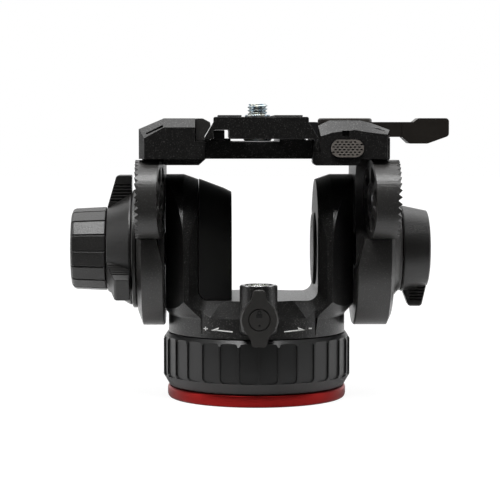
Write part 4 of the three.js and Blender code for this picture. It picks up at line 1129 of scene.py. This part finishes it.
lever_x, lever_y, pin_radius = 41, -26, 3.3
lever_centre = (lever_x, lever_y, 0)
swing_inner, swing_outer, swing_floor, over = 26, 60, 122.7, 138
swing = tube(swing_inner, swing_outer, swing_floor, over, "Z", lever_centre, 192)
swing = shaped(swing, block((44, -39.6, deck), (64, 48, over + 3)), operation="INTERSECT")
pin_room = rod(pin_radius, 119.8, block_top, "Z", lever_centre, 48)
stop_room = block((-21.2, -40.3, jaw_seat), (-15.4, -17.7, block_top))
slot_left = pushed([(-52.3, 128.1), (-51.6, 127.5), (-43.9, 131.0), (-44.3, 131.9)], -47, -42.8, "Y")
slot_right = pushed([(50.2, 132.0), (50.4, 131.2), (58.8, 129.0), (58.6, 129.7)], -47, -42.3, "Y")
nick = block((38.5, -48, 126.7), (41.8, front + 2, 129.3))
button_room = pill(0.3, -50, -32.5)
casting = shaped(casting, button_room, swing, pin_room, stop_room, slot_left, slot_right, nick)
shown(
    "top_casting", casting, cast, "cradle", "top_carriage",
    bevel=0.45, angle=22, segments=3, slot="cast_black",
)

# Jaws and stop. Two jaws hold the dovetail of the plate: the left one is painted like the side
# plates and fixed, the right one is anodised, has a block behind it and follows the lever. A stop
# under the plate keeps it from sliding out.
anodised = moulded("anodised_black", (0.010, 0.010, 0.011), 2600, 0.00001, (0.34, 0.46))
jaw_low, jaw_top, flank_low, jaw_end = 124.55, 133.3, 126.2, 30
fixed_back, fixed_half = -29.1, 38
fixed_jaw = pushed(
    [
        (fixed_back, jaw_low), (-22.4, jaw_low), (-22.4, 125.5), (-25.5, 125.5),
        (-25.5, flank_low), (-22.35, 131.4), (-22.6, jaw_top, 0.5), (-25.9, block_top, 0.8),
        (fixed_back, block_top),
    ],
    -fixed_half, fixed_half, "Y",
)
shown(
    "fixed_jaw_bar", fixed_jaw, satin_grey, "cradle", "fixed_jaw",
    bevel=0.3, angle=30, slot="moulded_black",
)
jaw_shape = [
    (26.3, jaw_low), (27, jaw_low), (27, jaw_top, 0.4), (23.1, jaw_top, 0.6), (23.1, 132.0),
    (26.5, flank_low), (26.3, 125.4),
]
pusher = block((26, -10, flank_low), (30.2, jaw_end, jaw_top))
clamp_jaw = shaped(pushed(jaw_shape, -37, jaw_end, "Y"), pusher, operation="UNION")
shown(
    "clamp_jaw_bar", clamp_jaw, anodised, "jaw", "clamp_jaw",
    bevel=0.2, angle=30, slot="moulded_black",
)
stop_low, stop_top = 124.8, 129.5
stop = pushed(
    [(-37.9, stop_low), (-18, stop_low), (-18, stop_top, 0.6), (-37.9, stop_top, 0.6)],
    -20.93, -15.7, "X",
)
shown("stop_block", stop, anodised, "cradle", "plate_stop", bevel=0.3, angle=30, slot="steel")

# Clamp lever. Aluminium, anodised a dark brownish grey with a satin gloss: a round hub over its
# pin, a bar, and a deeper paddle at the end for the finger.
bronze_grey = Coat("lever_anodised", (0.05, 0.043, 0.036), 0.4, 0.6)
satin = bronze_grey.noise(1600, 3)
clouds = bronze_grey.noise(90, 2)
bronze_grey.finish(satin, 0.34, 0.46, 0.000015)
bronze_grey.set(
    Base_Color=bronze_grey.mix(clouds, (0.030, 0.026, 0.022), (0.044, 0.038, 0.033))
)
lever_foot, bar_top, lever_top, hub_radius = 126.3, 133.3, 135.1, 12.75
hub = turned(
    [
        (pin_radius, lever_foot), (hub_radius, lever_foot), (hub_radius, lever_top - 1.0),
        (hub_radius - 0.25, lever_top - 0.35), (hub_radius - 0.85, lever_top), (0, lever_top),
        (0, lever_top - 2), (pin_radius, lever_top - 2),
    ],
    "Z", lever_centre,
)
bar = block((lever_x + 8, lever_y - 6, lever_foot), (75, lever_y + 6, bar_top))
paddle_low, paddle_start, paddle_half = 123.2, 67.5, 7
paddle = pushed(
    [
        (paddle_start, lever_foot, 1), (70.8, paddle_low, 1.5), (79.4, paddle_low, 3),
        (knob_end, 126.8, 1.6), (knob_end, lever_top, 1.6), (75.1, lever_top, 1),
        (72.8, bar_top, 1), (paddle_start, bar_top),
    ],
    lever_y - paddle_half, lever_y + paddle_half, "Y",
)
lever = shaped(bar, hub, paddle, operation="UNION")
shown(
    "clamp_lever", lever, bronze_grey, "lever", "plate_lock_lever",
    bevel=1.0, angle=28, segments=4, slot="lever_brown",
)

# Release button. A die-cast pill, bead blasted to a warm grey, with staggered oval dimples sunk
# into its face inside a plain rim. The hollows of the dimples are coloured near black as painted
# shade.
button_front = -46.5
warm = Coat("button_grey", (0.30, 0.27, 0.24), 0.42, 0.7)
blast = warm.noise(2200, 3)
x, y, z = warm.axes()
# Painted shade: everything set back behind the button's face, that is the inside of each dimple, is
# coloured near black.
painted_dimple_shade = warm.ramp((y * 1000 - button_front + 0.05) * 2, [(0.1, 0), (0.9, 1)])
warm.finish(blast, 0.36, 0.5, 0.00002)
blasted = warm.mix(blast, (0.27, 0.245, 0.22), (0.40, 0.365, 0.33))
warm.set(Base_Color=warm.mix(painted_dimple_shade, blasted, (0.03, 0.028, 0.026)))
rows, columns, reach = 6, 8, 3.4
dimples = []
for row in range(rows):
    for column in range(columns):
        u = (column - (columns - 1) / 2) * 2 + (0.5 if row % 2 else -0.5)
        v = (row - (rows - 1) / 2) * 1.17
        if max(abs(u) - 3.6, 0) ** 2 + v * v < reach**2:
            dot = bmesh.new()
            bmesh.ops.create_icosphere(dot, subdivisions=2, radius=1)
            bmesh.ops.scale(dot, vec=(0.74, 0.75, 0.42), verts=dot.verts)
            place = (button_x + u, button_front - 0.1, button_z + v)
            bmesh.ops.translate(dot, vec=place, verts=dot.verts)
            dimples.append(dot)
button = shaped(pill(0, button_front, button_front + 9), joined(*dimples))
shown(
    "plate_release_button", button, warm, "button", "release_button",
    bevel=0.1, angle=40, slot="button_grey",
)

# Camera plate. A long dovetail, black powder coated, with a slot for the screw, a deep groove
# below, and two strips of ribbed rubber glued to its top.
plate_low, plate_top, plate_half = 125.6, 135.5, 70
foot_left, top_left, top_right, foot_right = -24.9, -20.9, 21.9, 26.1
plate_shape = [
    (foot_left, plate_low), (-21, plate_low), (-21, plate_low + 4, 0.6),
    (-13.5, plate_low + 4, 0.6), (-13.5, plate_low), (foot_right, plate_low),
    (foot_right, plate_low + 0.6), (top_right, plate_low + 7.5), (top_right, plate_top, 0.8),
    (top_left, plate_top, 0.8), (top_left, plate_low + 7.5), (foot_left, plate_low + 0.6),
]
slide = pushed(plate_shape, -plate_half, plate_half, "Y", arcs=3)
underside = block((-11.5, 3 - plate_half, 122), (11.5, plate_half + 3, 131.9))
slot_half, slot_end, slot_round = 5.4, 45, 5.3
slot_cut = pushed(rectangle(-slot_half, -slot_end, slot_half, slot_end, slot_round), 129, 138)
slide = shaped(slide, underside, slot_cut)
shown("camera_dovetail", slide, cast, "plate", "slide_plate", bevel=0.35, angle=25, slot="cast_black")


def pad(name, node, low, high, end=67, corner=1.5, pitch=1.28):
    """A strip of rubber from one side to the other, with fine lines cut along it."""
    strip = pushed(rectangle(low, -end, high, end, corner), plate_top, plate_top + 0.8)
    starts = [low + 1.2 + pitch * k for k in range(int((high - low - 2) / pitch) + 1)]
    lines = [
        block((at, 4 - end, plate_top + 0.45), (at + 0.55, end - 4, plate_top + 2)) for at in starts
    ]
    shown(
        name, shaped(strip, joined(*lines)), rubber, "plate", node,
        bevel=0.15, angle=30, slot="rubber",
    )


pad("left_rubber_strip", "left_pad", -19.0, -8.2)
pad("right_rubber_strip", "right_pad", 6.6, 19.3)

# Camera screw. A 3/8 inch screw of zinc-plated steel with a real thread, its slotted head sunk
# in the plate's groove, and the washer that keeps it in the slot.
thread_pitch = 1.5875


def threaded(inner, outer, low, high, steps=48):
    """A rod's side with a screw thread: a profile moved round and up by one pitch a turn."""
    form = bmesh.new()
    turns = math.ceil((high - low) / thread_pitch) + 2
    teeth = []
    for turn in range(turns + 1):
        foot = low - thread_pitch * 1.5 + turn * thread_pitch
        for share, radius in zip((0, 0.12, 0.44, 0.56, 0.88), (inner, inner, outer, outer, inner)):
            teeth.append(form.verts.new((radius, 0, foot + share * thread_pitch)))
    for pair in zip(teeth, teeth[1:]):
        form.edges.new(pair)
    bmesh.ops.spin(
        form,
        geom=form.verts[:] + form.edges[:],
        axis=(0, 0, 1),
        cent=(0, 0, 0),
        steps=steps,
        angle=math.tau,
        dvec=(0, 0, thread_pitch / steps),
    )
    bmesh.ops.remove_doubles(form, verts=form.verts, dist=1e-3)
    return form


screw_y, head_top, screw_top = -20, 131.6, 141.9
head_low, head_radius, rim_low, grip_radius, thread_root = 124.4, 8.4, 128.6, 6.7, 3.98
helix = threaded(thread_root, thread_radius, head_top, screw_top)
rims = [edge for edge in helix.edges if edge.is_boundary]
bmesh.ops.holes_fill(helix, edges=rims, sides=0)
bmesh.ops.recalc_face_normals(helix, faces=helix.faces)
shank = turned(
    [
        (0, head_top - 0.5), (4.9, head_top - 0.5), (4.9, screw_top - 0.9), (3.9, screw_top),
        (0, screw_top),
    ],
    steps=96,
)
thread = shaped(helix, shank, operation="INTERSECT")
screw_head = turned(
    [
        (0, head_low), (grip_radius - 0.6, head_low), (grip_radius, head_low + 0.6),
        (grip_radius, rim_low), (head_radius - 0.3, rim_low), (head_radius, rim_low + 0.3),
        (head_radius, head_top - 0.3), (head_radius - 0.3, head_top), (0, head_top),
    ],
    steps=96,
)
coin_slot = block((-7, -0.8, 123), (7, 0.8, 126))
screw = shaped(shaped(screw_head, coin_slot), thread, operation="UNION")
bmesh.ops.translate(screw, vec=(0, screw_y, 0), verts=screw.verts)
shown("camera_thread", screw, zinc, "screw", "camera_screw", bevel=0.06, angle=35, slot="zinc_steel")
washer_bore, washer_radius, washer_low, washer_top = 4.95, 6.0, plate_top + 0.15, 136.8
washer = turned(
    [
        (washer_bore, washer_low), (washer_radius, washer_low), (washer_radius, washer_top - 0.2),
        (washer_radius - 0.2, washer_top), (washer_bore, washer_top),
    ],
    "Z", (0, screw_y, 0), steps=96,
)
shown("screw_keeper", washer, zinc, "screw", "screw_washer", bevel=0.08, slot="rubber")
